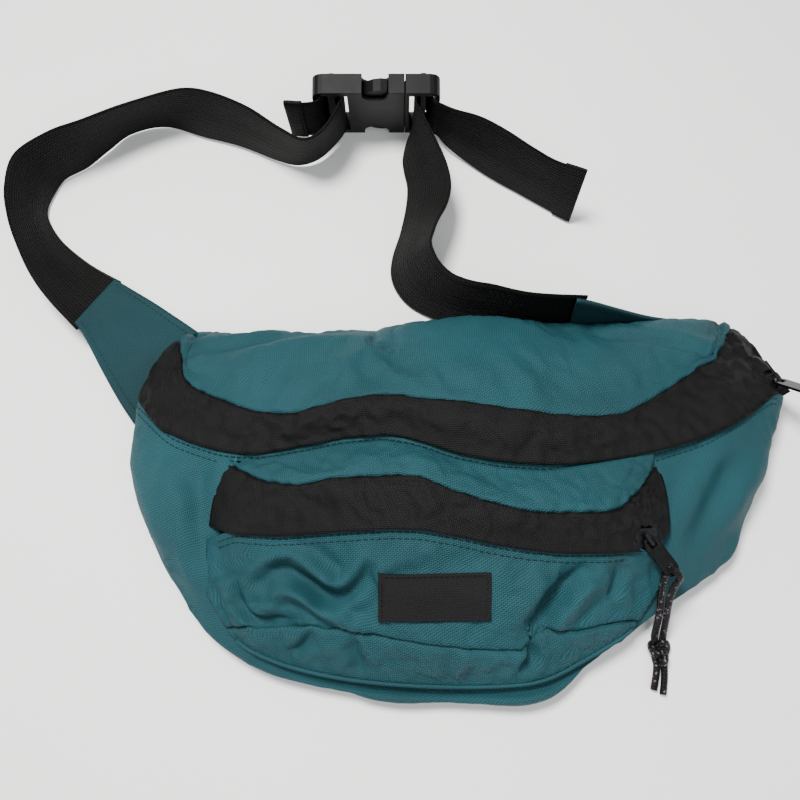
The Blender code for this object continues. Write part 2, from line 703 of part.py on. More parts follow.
def arm(mats, frame, side, name):
    """A spring arm with its barb and the thumb tab that shows in the window."""
    outline = [
        (17.6, 16.4), (17.6, 21.6), (12.0, 22.2), (7.6, 22.8), (7.4, 28.4), (3.0, 29.2),
        (-2.0, 28.0), (-6.4, 25.2), (-10.2, 21.6), (-11.4, 18.4), (-10.0, 17.6), (-5.0, 20.4),
        (0.0, 21.6), (4.0, 20.4), (8.0, 18.0), (12.0, 16.8),
    ]
    hinge = bpy.data.objects.new(name + "_pivot", None)
    bpy.context.scene.collection.objects.link(hinge)
    hinge.parent = frame
    hinge.location = (ARM_PIVOT[0] * MM, side * ARM_PIVOT[1] * MM, 0)
    local = [(x - ARM_PIVOT[0], side * (y - ARM_PIVOT[1])) for x, y in outline]
    piece = prism(name, local, -4.2, 4.2, mats["plastic"])
    piece.parent = hinge

# ---------------------------------------------------------------------- cord


def tube(name, points, radius, mat):
    """A plain round cord through the points of its route."""
    curve = bpy.data.curves.new(name, "CURVE")
    curve.dimensions = "3D"
    curve.bevel_depth = radius * MM
    curve.bevel_resolution = 2
    curve.use_fill_caps = True
    length = sum(math.dist(a, b) for a, b in zip(points, points[1:]))
    line = smooth_line(points, max(4, round(length / (radius * CORD_STEP))))
    spline = curve.splines.new("POLY")
    spline.points.add(len(line) - 1)
    for spot, point in zip(spline.points, line):
        spot.co = (*(point * MM), 1)
    curve.materials.append(mat)
    obj = bpy.data.objects.new(name, curve)
    bpy.context.scene.collection.objects.link(obj)
    return obj


# Pull cord: up from the knot, through the hole in the pull, over its tip and back
CORD_LOOP = [
    (110.4, -78.3, 6.6), (110.6, -73.0, 13.2), (111.0, -66.0, 20.6), (111.3, -61.0, 23.2),
    (111.8, -55.5, 26.4), (112.5, -50.5, 30.4), (112.9, -47.2, 33.8), (113.2, -45.9, 37.0),
    (113.6, -46.3, 40.3), (114.9, -48.1, 42.9), (116.7, -50.1, 42.9), (118.1, -51.6, 40.8),
    (118.1, -52.2, 37.8), (117.0, -54.2, 34.4), (115.7, -58.0, 30.2), (114.9, -63.0, 25.4),
    (114.9, -69.0, 19.0), (114.9, -74.5, 12.2), (115.0, -78.3, 7.6),
]
CORD_ENDS = {
    "cord_end_a": [(110.6, -95.9, 3.4), (109.6, -101, 2.7), (107.9, -107, 2.5)],
    "cord_end_b": [(115.0, -95.9, 3.4), (114.4, -102, 2.7), (112.9, -109.5, 2.5)],
}
KNOT_AT = (112.8, -87.6, 6.1)
KNOT_SIZE = (6.2, 7.8, 5.7)


def pull_cord(mats):
    """The cord loop on the pocket's pull, its knot and its two ends."""
    tube("pull_cord", CORD_LOOP, CORD_RADIUS, mats["cord"])
    for name, points in CORD_ENDS.items():
        tube(name, points, CORD_RADIUS, mats["cord"])
    ring = [(math.cos(a), math.sin(a)) for a in np.linspace(0, 2 * math.pi, 13)[:-1]]
    outline = [(x * KNOT_SIZE[0], y * KNOT_SIZE[2]) for x, y in ring]
    knot = prism("cord_knot", outline, -KNOT_SIZE[1], KNOT_SIZE[1], mats["cord"])
    knot.location = Vector(KNOT_AT) * MM
    knot.rotation_euler = (math.radians(90), 0, 0)
    soften(knot, 2.0, 2)


def main():
    """Builds the whole pack."""
    for obj in list(bpy.data.objects):
        bpy.data.objects.remove(obj)
    mats = {
        "teal": material("teal_fabric", (0.032, 0.145, 0.165), 0.85),
        "black": material("black_fabric", (0.018, 0.018, 0.019), 0.85),
        "back": material("back_fabric", (0.02, 0.02, 0.022), 0.9),
        "webbing": material("webbing", (0.012, 0.011, 0.011), 0.8),
        "tape": material("zipper_tape", (0.012, 0.012, 0.013), 0.7),
        "plastic": material("buckle_plastic", (0.022, 0.022, 0.024), 0.45),
        "metal": material("slider_metal", (0.35, 0.36, 0.38), 0.3, 1.0),
        "pull": material("pull_enamel", (0.02, 0.02, 0.022), 0.25, 0.4),
        "label": material("woven_label", (0.015, 0.015, 0.016), 0.8),
        "cord": material("cord", (0.02, 0.02, 0.022), 0.7),
    }
    front = main_compartment(mats)
    lower = pocket(mats, front)
    label(mats, lower)
    for prefix, zipper, span, upper_width in (
        ("main", MAIN_ZIP, MAIN_ZIP_SPAN, 14.0),
        ("pocket", POCKET_ZIP, POCKET_ZIP_SPAN, 8.0),
    ):
        tape(prefix + "_zip_upper", zipper, span, -1, mats["tape"], upper_width)
        tape(prefix + "_zip_lower", zipper, span, 1, mats["tape"], 10.0)
    slider_and_tab("main", mats, MAIN_ZIP, MAIN_SLIDER_AT, MAIN_PULL)
    slider_and_tab("pocket", mats, POCKET_ZIP, POCKET_SLIDER_AT, POCKET_PULL)
    belt(mats)
    buckle(mats)
    pull_cord(mats)
    wing("wing_left", LEFT_WING, mats["teal"], (0, 0, 1))
    wing("wing_right", RIGHT_WING, mats["teal"], (0, 1, 0))


main()
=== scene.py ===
"""Looks of the waist pack: cloth skins, webbing, buckle finish, zippers and cord.

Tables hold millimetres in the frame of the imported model; MM turns them into metres.
"""

import math

import bmesh
import bpy
import numpy as np
from mathutils import Matrix, Vector, noise
from mathutils.bvhtree import BVHTree


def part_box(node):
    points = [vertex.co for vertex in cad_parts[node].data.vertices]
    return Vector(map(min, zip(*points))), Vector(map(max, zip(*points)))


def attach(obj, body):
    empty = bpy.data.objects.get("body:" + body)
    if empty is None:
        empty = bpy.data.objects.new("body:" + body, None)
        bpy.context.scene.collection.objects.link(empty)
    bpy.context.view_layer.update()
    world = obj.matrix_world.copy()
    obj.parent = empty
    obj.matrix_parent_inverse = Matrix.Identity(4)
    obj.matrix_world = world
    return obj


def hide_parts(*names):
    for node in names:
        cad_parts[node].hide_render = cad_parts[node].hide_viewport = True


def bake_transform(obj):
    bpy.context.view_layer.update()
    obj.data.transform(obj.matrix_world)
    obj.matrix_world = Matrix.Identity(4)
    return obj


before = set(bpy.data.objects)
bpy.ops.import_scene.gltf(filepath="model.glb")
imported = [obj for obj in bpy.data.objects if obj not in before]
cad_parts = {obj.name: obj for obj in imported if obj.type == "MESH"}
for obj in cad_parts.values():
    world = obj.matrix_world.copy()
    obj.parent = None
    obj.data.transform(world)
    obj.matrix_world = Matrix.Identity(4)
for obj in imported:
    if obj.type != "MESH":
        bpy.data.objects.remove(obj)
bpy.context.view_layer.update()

MM = 0.001

# Driving sizes
CLOTH_THICK = 1.1
GRID_STEP = 2.4
WEBBING_WIDTH = 50.0
WEBBING_THICK = 1.9
CORD_DIAMETER = 4.0
TABLE_SIZE = 5000

# Thread: one stitch, the pitch of a row, and a stitch's (share of length, width, rise)
STITCH_LENGTH = 2.9
STITCH_PITCH = 3.7
STITCH_SIDES = 6
THREAD_RADIUS = 0.28
STITCH_PROFILE = (
    (0.0, 0.25, -0.5), (0.12, 0.9, 0.0), (0.5, 1.0, 0.25), (0.88, 0.9, 0.0), (1.0, 0.25, -0.5),
)

WAVE_PERIOD = 0.3141593  # of Blender's wave texture at scale 1
CURVE_STEPS = 24  # samples of a curve between two of its points
EDGE_POINTS = 30  # points of a rail along a zipper
UNDER_FLAP = (-2.0, 9.0)  # cloth below a flap: shift from the flap's edge, furthest down
SLIDER_REACH = 18.0  # height over which a slider is kept clear

# The cloth simulation: its frames, the grid steps over which a seam lets go, its settings
CLOTH_FRAMES = 18
HOLD_WIDTH = 3.0
CLOTH_SETTINGS = {
    "quality": 6, "mass": 0.2, "tension_stiffness": 12, "compression_stiffness": 12,
    "shear_stiffness": 4, "bending_stiffness": 0.35, "pin_stiffness": 1.0,
    "uniform_pressure_force": 1.5, "shrink_min": -0.03,
}

# Zippers. An arc has its apex, radius, lean of the radius, tilt of the tape and turn about +Z.
# Slider and coil are degrees along the arc. The edge is that of the storm flap over the
# zipper, as (degrees along the arc, mm down the front).
MAIN_ZIP = {
    "name": "main", "apex": (2, 12, 55), "radius": 360, "lean": 57.0, "tilt": 57.0, "yaw": 3.0,
    "slider": 32.8, "coil": (-30.0, 33.8),
    "edge": [
        (-29, 3.0), (-26, 6.5), (-22, 8.3), (-18.5, 6.2), (-15, -1.0), (-11, -9.0), (-7, -12.5),
        (-4, -9.0), (-1, -1.5), (3, 5.5), (7, 10.0), (11, 12.8), (17, 14.4), (23, 14.4), (27, 12.0),
        (30, 8.0),
    ],
}
POCKET_ZIP = {
    "name": "pocket", "apex": (-13, -38, 61), "radius": 362, "lean": 27.0, "tilt": 0.0, "yaw": 0.0,
    "slider": 18.0, "coil": (-17.6, 19.2),
    "edge": [
        (-18, -3.2), (-13.5, -3.5), (-10.5, -5.8), (-7.5, -8.0), (-4, -9.8), (-1.5, -9.5),
        (1.5, -6.0), (4.5, -1.5), (7.5, 2.2), (10.5, 4.6), (15, 6.2), (18.5, 6.0),
    ],
}


# ---------------------------------------------------------------- materials


def new_material(name, colour, roughness, metallic=0.0, specular=0.5):
    """A Principled material; returns it with its node tree and shader."""
    mat = bpy.data.materials.new(name)
    mat.use_nodes = True
    tree = mat.node_tree
    shader = tree.nodes["Principled BSDF"]
    shader.inputs["Base Color"].default_value = (*colour, 1.0)
    shader.inputs["Roughness"].default_value = roughness
    shader.inputs["Metallic"].default_value = metallic
    shader.inputs["Specular IOR Level"].default_value = specular
    return mat, tree, shader


def node(tree, kind, **values):
    """A shader node with some of its inputs and properties set."""
    made = tree.nodes.new(kind)
    for key, value in values.items():
        if key in made.inputs:
            made.inputs[key].default_value = value
        else:
            setattr(made, key, value)
    return made


def coordinates(tree, *names):
    """The named outputs of a Texture Coordinate node."""
    made = node(tree, "ShaderNodeTexCoord")
    return [made.outputs[name] for name in names]


def maths(tree, operation, first, second):
    """A Math node on two sockets or numbers; returns its output."""
    made = node(tree, "ShaderNodeMath", operation=operation)
    for socket, value in zip(made.inputs, (first, second)):
        if isinstance(value, (int, float)):
            socket.default_value = value
        else:
            tree.links.new(value, socket)
    return made.outputs[0]


def weighted(tree, *parts):
    """The sum of sockets, each given as (socket, weight)."""
    total = None
    for socket, weight in parts:
        part = socket if weight == 1 else maths(tree, "MULTIPLY", socket, weight)
        total = part if total is None else maths(tree, "ADD", total, part)
    return total


def noise_at(tree, vector, scale, detail=3.0, roughness=0.5):
    """The value of a noise texture."""
    made = node(tree, "ShaderNodeTexNoise", Scale=scale, Detail=detail, Roughness=roughness)
    tree.links.new(vector, made.inputs["Vector"])
    return made.outputs["Fac"]


def stripes(tree, vector, period, angle):
    """A sine stripe pattern with a period in metres, turned by an angle in degrees."""
    turned = node(tree, "ShaderNodeMapping")
    turned.inputs["Rotation"].default_value = (0, 0, math.radians(angle))
    tree.links.new(vector, turned.inputs["Vector"])
    wave = node(tree, "ShaderNodeTexWave", Scale=WAVE_PERIOD / period, Distortion=0.0)
    tree.links.new(turned.outputs["Vector"], wave.inputs["Vector"])
    return wave.outputs["Fac"]


def colour_by(tree, shader, value, stops):
    """Colours a shader by a value, with (position, colour) stops."""
    made = node(tree, "ShaderNodeValToRGB")
    band = made.color_ramp
    while len(band.elements) < len(stops):
        band.elements.new(0.5)
    for element, (position, colour) in zip(band.elements, stops):
        element.position = position
        element.color = (*colour, 1.0)
    tree.links.new(value, made.inputs["Fac"])
    tree.links.new(made.outputs["Color"], shader.inputs["Base Color"])


def roughness_by(tree, shader, value, gain, shift):
    """Makes the roughness follow a value."""
    rough = maths(tree, "ADD", weighted(tree, (value, gain)), shift)
    tree.links.new(rough, shader.inputs["Roughness"])


def raise_by(tree, shader, height, strength, distance):
    """Adds a bump over the bump that a shader may have already."""
    made = node(tree, "ShaderNodeBump", Strength=strength, Distance=distance)
    tree.links.new(height, made.inputs["Height"])
    normal = shader.inputs["Normal"]
    if normal.is_linked:
        tree.links.new(normal.links[0].from_socket, made.inputs["Normal"])
    tree.links.new(made.outputs["Normal"], normal)


def shade(colour, factor):
    """A colour made lighter or darker."""
    return tuple(min(1.0, c * factor) for c in colour)


def woven(name, colour, period, roughness, sheen, twill=0.48, worn=None, specular=0.22):
    """Coated pack cloth: a fine weave with a diagonal, faded patches and sheen."""
    mat, tree, shader = new_material(name, colour, roughness, 0.0, specular)
    lay, body = coordinates(tree, "UV", "Object")
    grid = maths(tree, "MULTIPLY", stripes(tree, lay, period, 0), stripes(tree, lay, period, 90))
    weave = weighted(tree, (grid, 1), (stripes(tree, lay, period * 1.2, 50), twill))
    fade = noise_at(tree, body, 14.0, 5.0, 0.6)
    fuzz = noise_at(tree, lay, 900.0, 3.0, 0.6)
    tone = weighted(tree, (fade, 0.38), (weave, 0.42), (fuzz, 0.14))
    light = worn or shade(colour, 1.7)
    colour_by(tree, shader, tone, [(0.29, shade(colour, 0.47)), (0.52, colour), (0.77, light)])
    roughness_by(tree, shader, fade, 0.16, roughness - 0.08)
    shader.inputs["Sheen Weight"].default_value = sheen
    shader.inputs["Sheen Roughness"].default_value = 0.45
    shader.inputs["Sheen Tint"].default_value = (*shade(colour, 4.0), 1.0)
    raise_by(tree, shader, weighted(tree, (weave, 1), (fuzz, 0.5)), 0.8, 0.0004)
    raise_by(tree, shader, noise_at(tree, body, 95.0, 4.0, 0.55), 0.35, 0.0012)
    return mat


def webbing_material():
    """Flat belt webbing: lengthwise ribs crossed by a tight herringbone."""
    colour = (0.0023, 0.0021, 0.0021)
    mat, tree, shader = new_material("webbing_weave", colour, 0.7, 0.0, 0.1)
    lay, body = coordinates(tree, "UV", "Object")
    ribs = stripes(tree, lay, 0.0024, 90)
    picks = stripes(tree, lay, 0.0015, 0)
    slant = stripes(tree, lay, 0.0017, 38)
    fuzz = noise_at(tree, lay, 700.0, 3.0, 0.65)
    wear = noise_at(tree, body, 22.0, 4.0, 0.6)
    weave = weighted(tree, (ribs, 0.7), (picks, 0.5), (slant, 0.5))
    tone = weighted(tree, (weave, 0.42), (wear, 0.38))
    light = (0.0110, 0.0099, 0.0097)
    colour_by(tree, shader, tone, [(0.3, shade(colour, 0.35)), (0.52, colour), (0.8, light)])
    raise_by(tree, shader, weighted(tree, (weave, 1), (fuzz, 0.4)), 0.8, 0.00045)
    return mat


def plastic_material():
    """Moulded acetal: fine spark texture, a little dust and rubbed edges."""
    colour = (0.0034, 0.0033, 0.0035)
    mat, tree, shader = new_material("buckle_acetal", colour, 0.5, 0.0, 0.14)
    (where,) = coordinates(tree, "Object")
    dust = noise_at(tree, where, 60.0, 6.0, 0.7)
    light = (0.0085, 0.0082, 0.0085)
    colour_by(tree, shader, dust, [(0.35, shade(colour, 0.8)), (0.6, colour), (0.8, light)])
    roughness_by(tree, shader, dust, 0.3, 0.34)
    raise_by(tree, shader, noise_at(tree, where, 2600.0, 2.0, 0.5), 0.25, 0.00012)
    return mat


def metal_material(name, colour, roughness, metallic, specular=0.5):
    """Plated or enamelled zinc, scuffed where fingers and the zipper rub it."""
    mat, tree, shader = new_material(name, colour, roughness, metallic, specular)
    scuff = noise_at(tree, *coordinates(tree, "Object"), 420.0, 5.0, 0.7)
    stops = [(0.42, shade(colour, 0.7)), (0.6, colour), (0.75, shade(colour, 1.5))]
    colour_by(tree, shader, scuff, stops)
    roughness_by(tree, shader, scuff, 0.3, roughness - 0.12)
    raise_by(tree, shader, scuff, 0.15, 0.0001)
    return mat


def cord_material():
    """Braided cord, black with pale and pink flecks."""
    mat, tree, shader = new_material("cord_braid", (0.016, 0.015, 0.016), 0.45, 0.0, 0.25)
    lay, body = coordinates(tree, "UV", "Object")
    flecks = node(tree, "ShaderNodeTexVoronoi", Scale=900.0)
    tree.links.new(body, flecks.inputs["Vector"])
    chance = node(tree, "ShaderNodeSeparateColor")
    tree.links.new(flecks.outputs["Color"], chance.inputs["Color"])
    black, pale, pink = (0.0032, 0.0030, 0.0033), (0.13, 0.115, 0.14), (0.12, 0.040, 0.070)
    stops = [(0.0, black), (0.93, black), (0.94, pink), (0.975, pale), (1.0, pale)]
    colour_by(tree, shader, chance.outputs["Red"], stops)
    braid = maths(tree, "MAXIMUM", stripes(tree, lay, 0.0016, 38), stripes(tree, lay, 0.0016, -38))
    raise_by(tree, shader, braid, 0.9, 0.0007)
    return mat


def table_material():
    """Pale painted board, very slightly uneven."""
    mat, tree, shader = new_material("pale_table", (0.90, 0.90, 0.89), 0.6)
    (where,) = coordinates(tree, "Object")
    patch = noise_at(tree, where, 3.0, 4.0, 0.6)
    colour_by(tree, shader, patch, [(0.3, (0.885, 0.887, 0.875)), (0.7, (0.915, 0.917, 0.905))])
    raise_by(tree, shader, noise_at(tree, where, 240.0, 4.0, 0.6), 0.1, 0.0004)
    return mat


TEAL = (0.0086, 0.0555, 0.0680)
BLACK = (0.0040, 0.0039, 0.0042)
BLACK_WORN = (0.0105, 0.0100, 0.0100)
MATS = {
    "teal_fabric": woven("teal_pack_cloth", TEAL, 0.00112, 0.62, 0.05),
    "black_fabric": woven("black_pack_cloth", BLACK, 0.00105, 0.58, 0.02, 0.35, BLACK_WORN, 0.16),
    "back_fabric": woven("back_pack_cloth", (0.0080, 0.0080, 0.0085), 0.0014, 0.78, 0.02, 0.3),
    "woven_label": woven("label_weave", (0.0050, 0.0050, 0.0054), 0.0009, 0.72, 0.02, 0.9),
    "zipper_tape": woven("zipper_tape_weave", (0.0055, 0.0055, 0.0060), 0.0014, 0.75, 0.02, 0.9),
    "webbing": webbing_material(),
    "buckle_plastic": plastic_material(),
    "slider_metal": metal_material("slider_gunmetal", (0.045, 0.045, 0.048), 0.3, 0.9),
    "pull_enamel": metal_material("pull_gloss_enamel", (0.0030, 0.0030, 0.0033), 0.2, 0.0, 0.28),
    "cord": cord_material(),
}
# The wings' cloth is the teal cloth darkened to 0.62 of its colour: painted shade for the shadow the
# wings lie in
SHADED_WING_CLOTH = woven("teal_wing_cloth_painted_shade", shade(TEAL, 0.62), 0.00112, 0.66, 0.04)
TEAL_THREAD = woven("teal_thread", (0.0038, 0.0205, 0.0245), 0.0006, 0.6, 0.1)
BLACK_THREAD = woven("black_thread", (0.0045, 0.0045, 0.0050), 0.0006, 0.6, 0.1)


# ------------------------------------------------------------ mesh building


def curve_points(lines, steps):
    """Smooth curves through points, or through lines of points, with steps in each gap."""
    ends = np.concatenate([2 * lines[:1] - lines[1:2], lines, 2 * lines[-1:] - lines[-2:-1]])
    rows = []
    for i in range(len(lines) - 1):
        a, b, c, d = ends[i : i + 4]
        for t in np.linspace(0, 1, steps, endpoint=False):
            rows.append(
                0.5 * (2 * b + (c - a) * t + (2 * a - 5 * b + 4 * c - d) * t**2)
                + 0.5 * (3 * b - a - 3 * c + d) * t**3
            )
    return np.array(rows + [lines[-1]])


def running(line):
    """Running length along a line of points."""
    return np.concatenate([[0], np.cumsum(np.linalg.norm(np.diff(line, axis=0), axis=1))])


def sample(line, run, spots):
    """What a line holds at some running lengths."""
    return np.column_stack([np.interp(spots, run, col) for col in line.T])


def smooth_line(points, count):
    """Evenly spaced samples of the smooth curve that passes through the points."""
    fine = curve_points(np.array(points, float), CURVE_STEPS)
    run = running(fine[:, :3])
    return sample(fine, run, np.linspace(0, run[-1], count))


def path_length(points):
    """Length of the straight path through points."""
    return sum(math.dist(a[:3], b[:3]) for a, b in zip(points, points[1:]))


def fine_loft(rails, step=GRID_STEP):
    """A dense grid through rails; returns it with the rows between two rails."""
    longest = max(path_length(rail) for rail in rails)
    centres = [np.mean(rail, axis=0) for rail in rails]
    steps = max(6, round(max(np.linalg.norm(a - b) for a, b in zip(centres, centres[1:])) / step))
    lines = np.array([smooth_line(rail, round(longest / step)) for rail in rails])
    return curve_points(lines, steps), steps


def outward(grid):
    """Unit normals of a grid whose rows run left to right, top row first."""
    normal = np.cross(np.gradient(grid, axis=0), np.gradient(grid, axis=1))
    return unit(normal, 1e-9)


def unit(vectors, least=0.0):
    """Vectors made one long, unless they are shorter than the least length."""
    return vectors / np.maximum(np.linalg.norm(vectors, axis=-1, keepdims=True), least)


def lengths(grid, axis):
    """Running length along the rows (axis 1) or columns (axis 0) of a grid."""
    steps = np.linalg.norm(np.diff(grid, axis=axis), axis=2)
    return np.cumsum(np.insert(steps, 0, 0, axis=axis), axis=axis)


def grid_faces(rows, cols):
    """Faces between the vertices of a grid."""
    return [
        (r * cols + c, (r + 1) * cols + c, (r + 1) * cols + c + 1, r * cols + c + 1)
        for r in range(rows - 1)
        for c in range(cols - 1)
    ]


def ring_faces(rings, sides, base=0, closed=False):
    """Faces between rings of vertices from index base on, with or without its two ends."""
    last = base + (rings - 1) * sides
    faces = [
        (a + i, a + (i + 1) % sides, a + sides + (i + 1) % sides, a + sides + i)
        for a in range(base, last, sides)
        for i in range(sides)
    ]
    if closed:
        faces += [tuple(range(base, base + sides))[::-1], tuple(range(last, last + sides))]
    return faces


def mesh_object(name, verts, faces, mat, uvs=None):
    """One object from millimetre vertices, smooth shaded, with uvs in millimetres."""
    mesh = bpy.data.meshes.new(name)
    mesh.from_pydata([tuple(v) for v in np.asarray(verts, float) * MM], [], faces)
    mesh.materials.append(mat)
    if uvs is not None:
        layer = mesh.uv_layers.new(name="lay")
        corner = np.zeros(len(mesh.loops), int)
        mesh.loops.foreach_get("vertex_index", corner)
        layer.data.foreach_set("uv", (np.asarray(uvs, float)[corner] * MM).ravel())
    mesh.shade_smooth()
    obj = bpy.data.objects.new(name, mesh)
    bpy.context.scene.collection.objects.link(obj)
    return obj


def grid_object(name, grid, mat):
    """An open sheet from a grid, its weave laid out at its real size."""
    rows, cols = grid.shape[:2]
    across = lengths(grid, 1)
    across -= across[:, cols // 2 : cols // 2 + 1]
    uvs = np.dstack([across, -lengths(grid, 0)]).reshape(-1, 2)
    return mesh_object(name, grid.reshape(-1, 3), grid_faces(rows, cols), mat, uvs)


def thicken(obj, thick, offset=-1.0):
    """Gives a sheet its cloth thickness."""
    mod = obj.modifiers.new("cloth", "SOLIDIFY")
    mod.thickness = thick * MM
    mod.offset = offset
    mod.use_even_offset = False


def turn_outward(obj, merge=0.0):
    """Merges the vertices that lie within merge mm and turns all the faces outward."""
    work = bmesh.new()
    work.from_mesh(obj.data)
    if merge:
        bmesh.ops.remove_doubles(work, verts=work.verts, dist=merge * MM)
    bmesh.ops.recalc_face_normals(work, faces=work.faces)
    work.to_mesh(obj.data)
    work.free()


def finish_piece(obj, body, slot, *nodes):
    """Rides on a body, unless it is blended, and stands for CAD nodes; slot is not used."""
    if body:
        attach(obj, body)
    if nodes:
        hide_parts(*nodes)
    return obj


def tube(name, points, radius, mat, sides, count):
    """A round tube through points, with closed ends, as a mesh."""
    line = smooth_line(points, count)
    run = running(line)
    tangents = unit(np.gradient(line, axis=0))
    side = unit(np.cross(tangents[0], (0.31, 0.24, 0.92)))
    verts, uvs = [], []
    for spot, tangent, at in zip(line, tangents, run):
        side = unit(side - tangent * side.dot(tangent))
        up = np.cross(tangent, side)
        for i in range(sides):
            turn = 2 * math.pi * i / sides
            verts.append(spot + radius * (math.cos(turn) * side + math.sin(turn) * up))
            uvs.append((at, radius * turn))
    return mesh_object(name, verts, ring_faces(len(line), sides, 0, True), mat, uvs)


def stitches(
    name, line, normals, slot, lift=0.12, length=STITCH_LENGTH, pitch=STITCH_PITCH, body="pack"
):
    """A row of thread stitches along a line on a surface, in the thread of its slot."""
    mat = TEAL_THREAD if slot == "teal_fabric" else BLACK_THREAD
    run = running(line)
    verts, faces, uvs = [], [], []
    for start in np.arange(0.4, run[-1] - length, pitch):
        faces += ring_faces(len(STITCH_PROFILE), STITCH_SIDES, len(verts), True)
        for share, width, rise in STITCH_PROFILE:
            at = start + share * length
            spot, ahead = sample(line, run, [at, at + 0.5])
            (up,) = sample(normals, run, [at])
            across = unit(np.cross(ahead - spot, up), 1e-9)
            centre = spot + up * (lift + rise * THREAD_RADIUS)
            for i in range(STITCH_SIDES):
                turn = 2 * math.pi * i / STITCH_SIDES
                push = math.cos(turn) * across * 1.25 + math.sin(turn) * up * 0.8
                verts.append(centre + push * THREAD_RADIUS * width)
                uvs.append((at, turn * THREAD_RADIUS))
    return finish_piece(mesh_object(name, verts, faces, mat, uvs), body, slot)


# ------------------------------------------------------------------ zippers


def arc_frame(zipper, degrees):
    """Point on a zipper's arc, with its along, across (down the front) and normal."""
    lean = math.radians(zipper["lean"])
    toward = np.array([0, -math.sin(lean), math.cos(lean)])
    axis = np.array([0, math.cos(lean), math.sin(lean)])
    apex = np.array(zipper["apex"], float)
    turn = math.radians(degrees)
    radial = np.array([math.sin(turn), 0, 0]) + toward * math.cos(turn)
    along = np.array([math.cos(turn), 0, 0]) - toward * math.sin(turn)
    tilt = math.radians(zipper["tilt"])
    normal = radial * math.cos(tilt) + axis * math.sin(tilt)
    across = radial * math.sin(tilt) - axis * math.cos(tilt)
    spin = np.array(Matrix.Rotation(math.radians(zipper["yaw"]), 3, "Z"))
    point = apex + spin @ ((radial - toward) * zipper["radius"])
    return point, spin @ along, spin @ across, spin @ normal


def edge_offset(zipper, degrees, shift, limit):
    """How far down the front a storm flap's edge lies at places along its zipper."""
    spots, offsets = np.array(zipper["edge"], float).T
    return np.minimum(np.interp(degrees, spots, offsets) + shift, limit)


def wavy_rail(zipper, span, shift, limit, lift):
    """A rail that follows the storm flap's edge along a zipper."""
    rail = []
    for degrees in np.linspace(*span, EDGE_POINTS):
        point, _, side, normal = arc_frame(zipper, degrees)
        across = float(edge_offset(zipper, degrees, shift, limit))
        rail.append(tuple(point + side * across + normal * lift))
    return rail


def hem_line(grid, normals, zipper, below):
    """A stitch line some mm below a storm flap's free edge, on the cloth under it."""
    turns = np.clip((grid[0, :, 0] - zipper["apex"][0]) / zipper["radius"], -1, 1)
    degrees = np.degrees(np.arcsin(turns))
    hidden = edge_offset(zipper, degrees, 0.0, 99.0) - edge_offset(zipper, degrees, *UNDER_FLAP)
    down = lengths(grid, 0)
    line, up = [], []
    for c in range(grid.shape[1]):
        at = np.interp(hidden[c] + below, down[:, c], np.arange(grid.shape[0]))
        low = int(at)
        share = at - low
        line.append(grid[low, c] * (1 - share) + grid[low + 1, c] * share)
        up.append(normals[low, c])
    return np.array(line), np.array(up)


# ---------------------------------------------------------------- wrinkles


def seam_gathers(grid, normals, row, reach, height, pitch, seed):
    """Small puckers that run away from a seam row and die out over reach mm."""
    down, along = lengths(grid, 0), lengths(grid, 1)
    away = np.abs(down - down[row])
    push = np.zeros(away.shape)
    for r, c in np.argwhere(away <= reach * 3):
        u, v = along[r, c] / pitch, away[r, c] / (pitch * 3.2)
        wave = noise.noise((u, v, seed)) + 0.5 * noise.noise((u * 2.1, v * 1.7, seed + 9.0))
        push[r, c] = wave * height * math.exp(-away[r, c] / reach)
    grid += normals * push[:, :, None]


def crumple(grid, normals, size, height, seed):
    """Broad soft unevenness over a whole panel."""
    for r, c in np.ndindex(grid.shape[:2]):
        x, y, _ = grid[r, c]
        value = noise.fractal((x / size, y / size, seed), 0.9, 2.2, 4)
        grid[r, c] += normals[r, c] * value * height


def rumples(grid, normals, table):
    """Tight creases around places: (place, reach, crease size, height, seed)."""
    for at, reach, size, height, seed in table:
        gap = np.linalg.norm(grid - np.array(at, float), axis=2)
        for r, c in np.argwhere(gap < 2.2 * reach):
            spot = Vector(grid[r, c]) / size
            ridge = 0.55 - 2.2 * abs(noise.noise(spot + Vector((seed, 0, 0))))
            ridge += 0.5 * noise.noise(spot * 2.3 + Vector((0, seed, 0)))
            grid[r, c] += normals[r, c] * ridge * height * math.exp(-((gap[r, c] / reach) ** 2))


def bulge_ends(grid, columns, push):
    """Rounds the outer ends of a band between its two edges."""
    rows, cols = grid.shape[:2]
    arch = np.sin(np.linspace(0, math.pi, rows))[:, None]
    for side, way in ((np.arange(cols), -1), (np.arange(cols)[::-1], 1)):
        weight = np.clip(1 - side / columns, 0, 1)[None] ** 1.6
        grid += (arch * weight)[:, :, None] * np.array([way * push, 0.7 * push, 0.0])


def folds(grid, normals, creases, wider=1.0, higher=1.0):
    """Presses creases into a panel, each with a shallower valley on both its sides."""
    plan = grid[:, :, :2]
    for points, width, height in creases:
        width, height = width * wider, height * higher
        count = max(40, round(path_length(points)))
        line = smooth_line([(*p, 0) for p in points], count)[:, :2]
        gap = np.linalg.norm(plan[:, :, None, :] - line[None, None], axis=3)
        along = gap.argmin(axis=2) / (count - 1)
        gap = gap.min(axis=2)
        ends = np.sin(np.pi * np.clip(along, 0.02, 0.98)) ** 0.6
        profile = np.exp(-((gap / width) ** 2)) - 0.45 * np.exp(-(((gap - 1.7 * width) / width) ** 2))
        grid += normals * (profile * ends * height)[:, :, None]


def fade_edges(grid, before, rows_free, cols_free, bottom=True):
    """Keeps a panel's sewn rims where they were, easing the change in beside them."""
    r, c = (np.arange(n) for n in grid.shape[:2])
    down = np.clip(r / rows_free, 0, 1)
    if bottom:
        down = down * down[::-1]
    sides = np.clip(c / cols_free, 0, 1)
    weight = down[:, None] * (sides * sides[::-1])[None]
    weight = weight * weight * (3 - 2 * weight)
    return before + (grid - before) * weight[:, :, None]


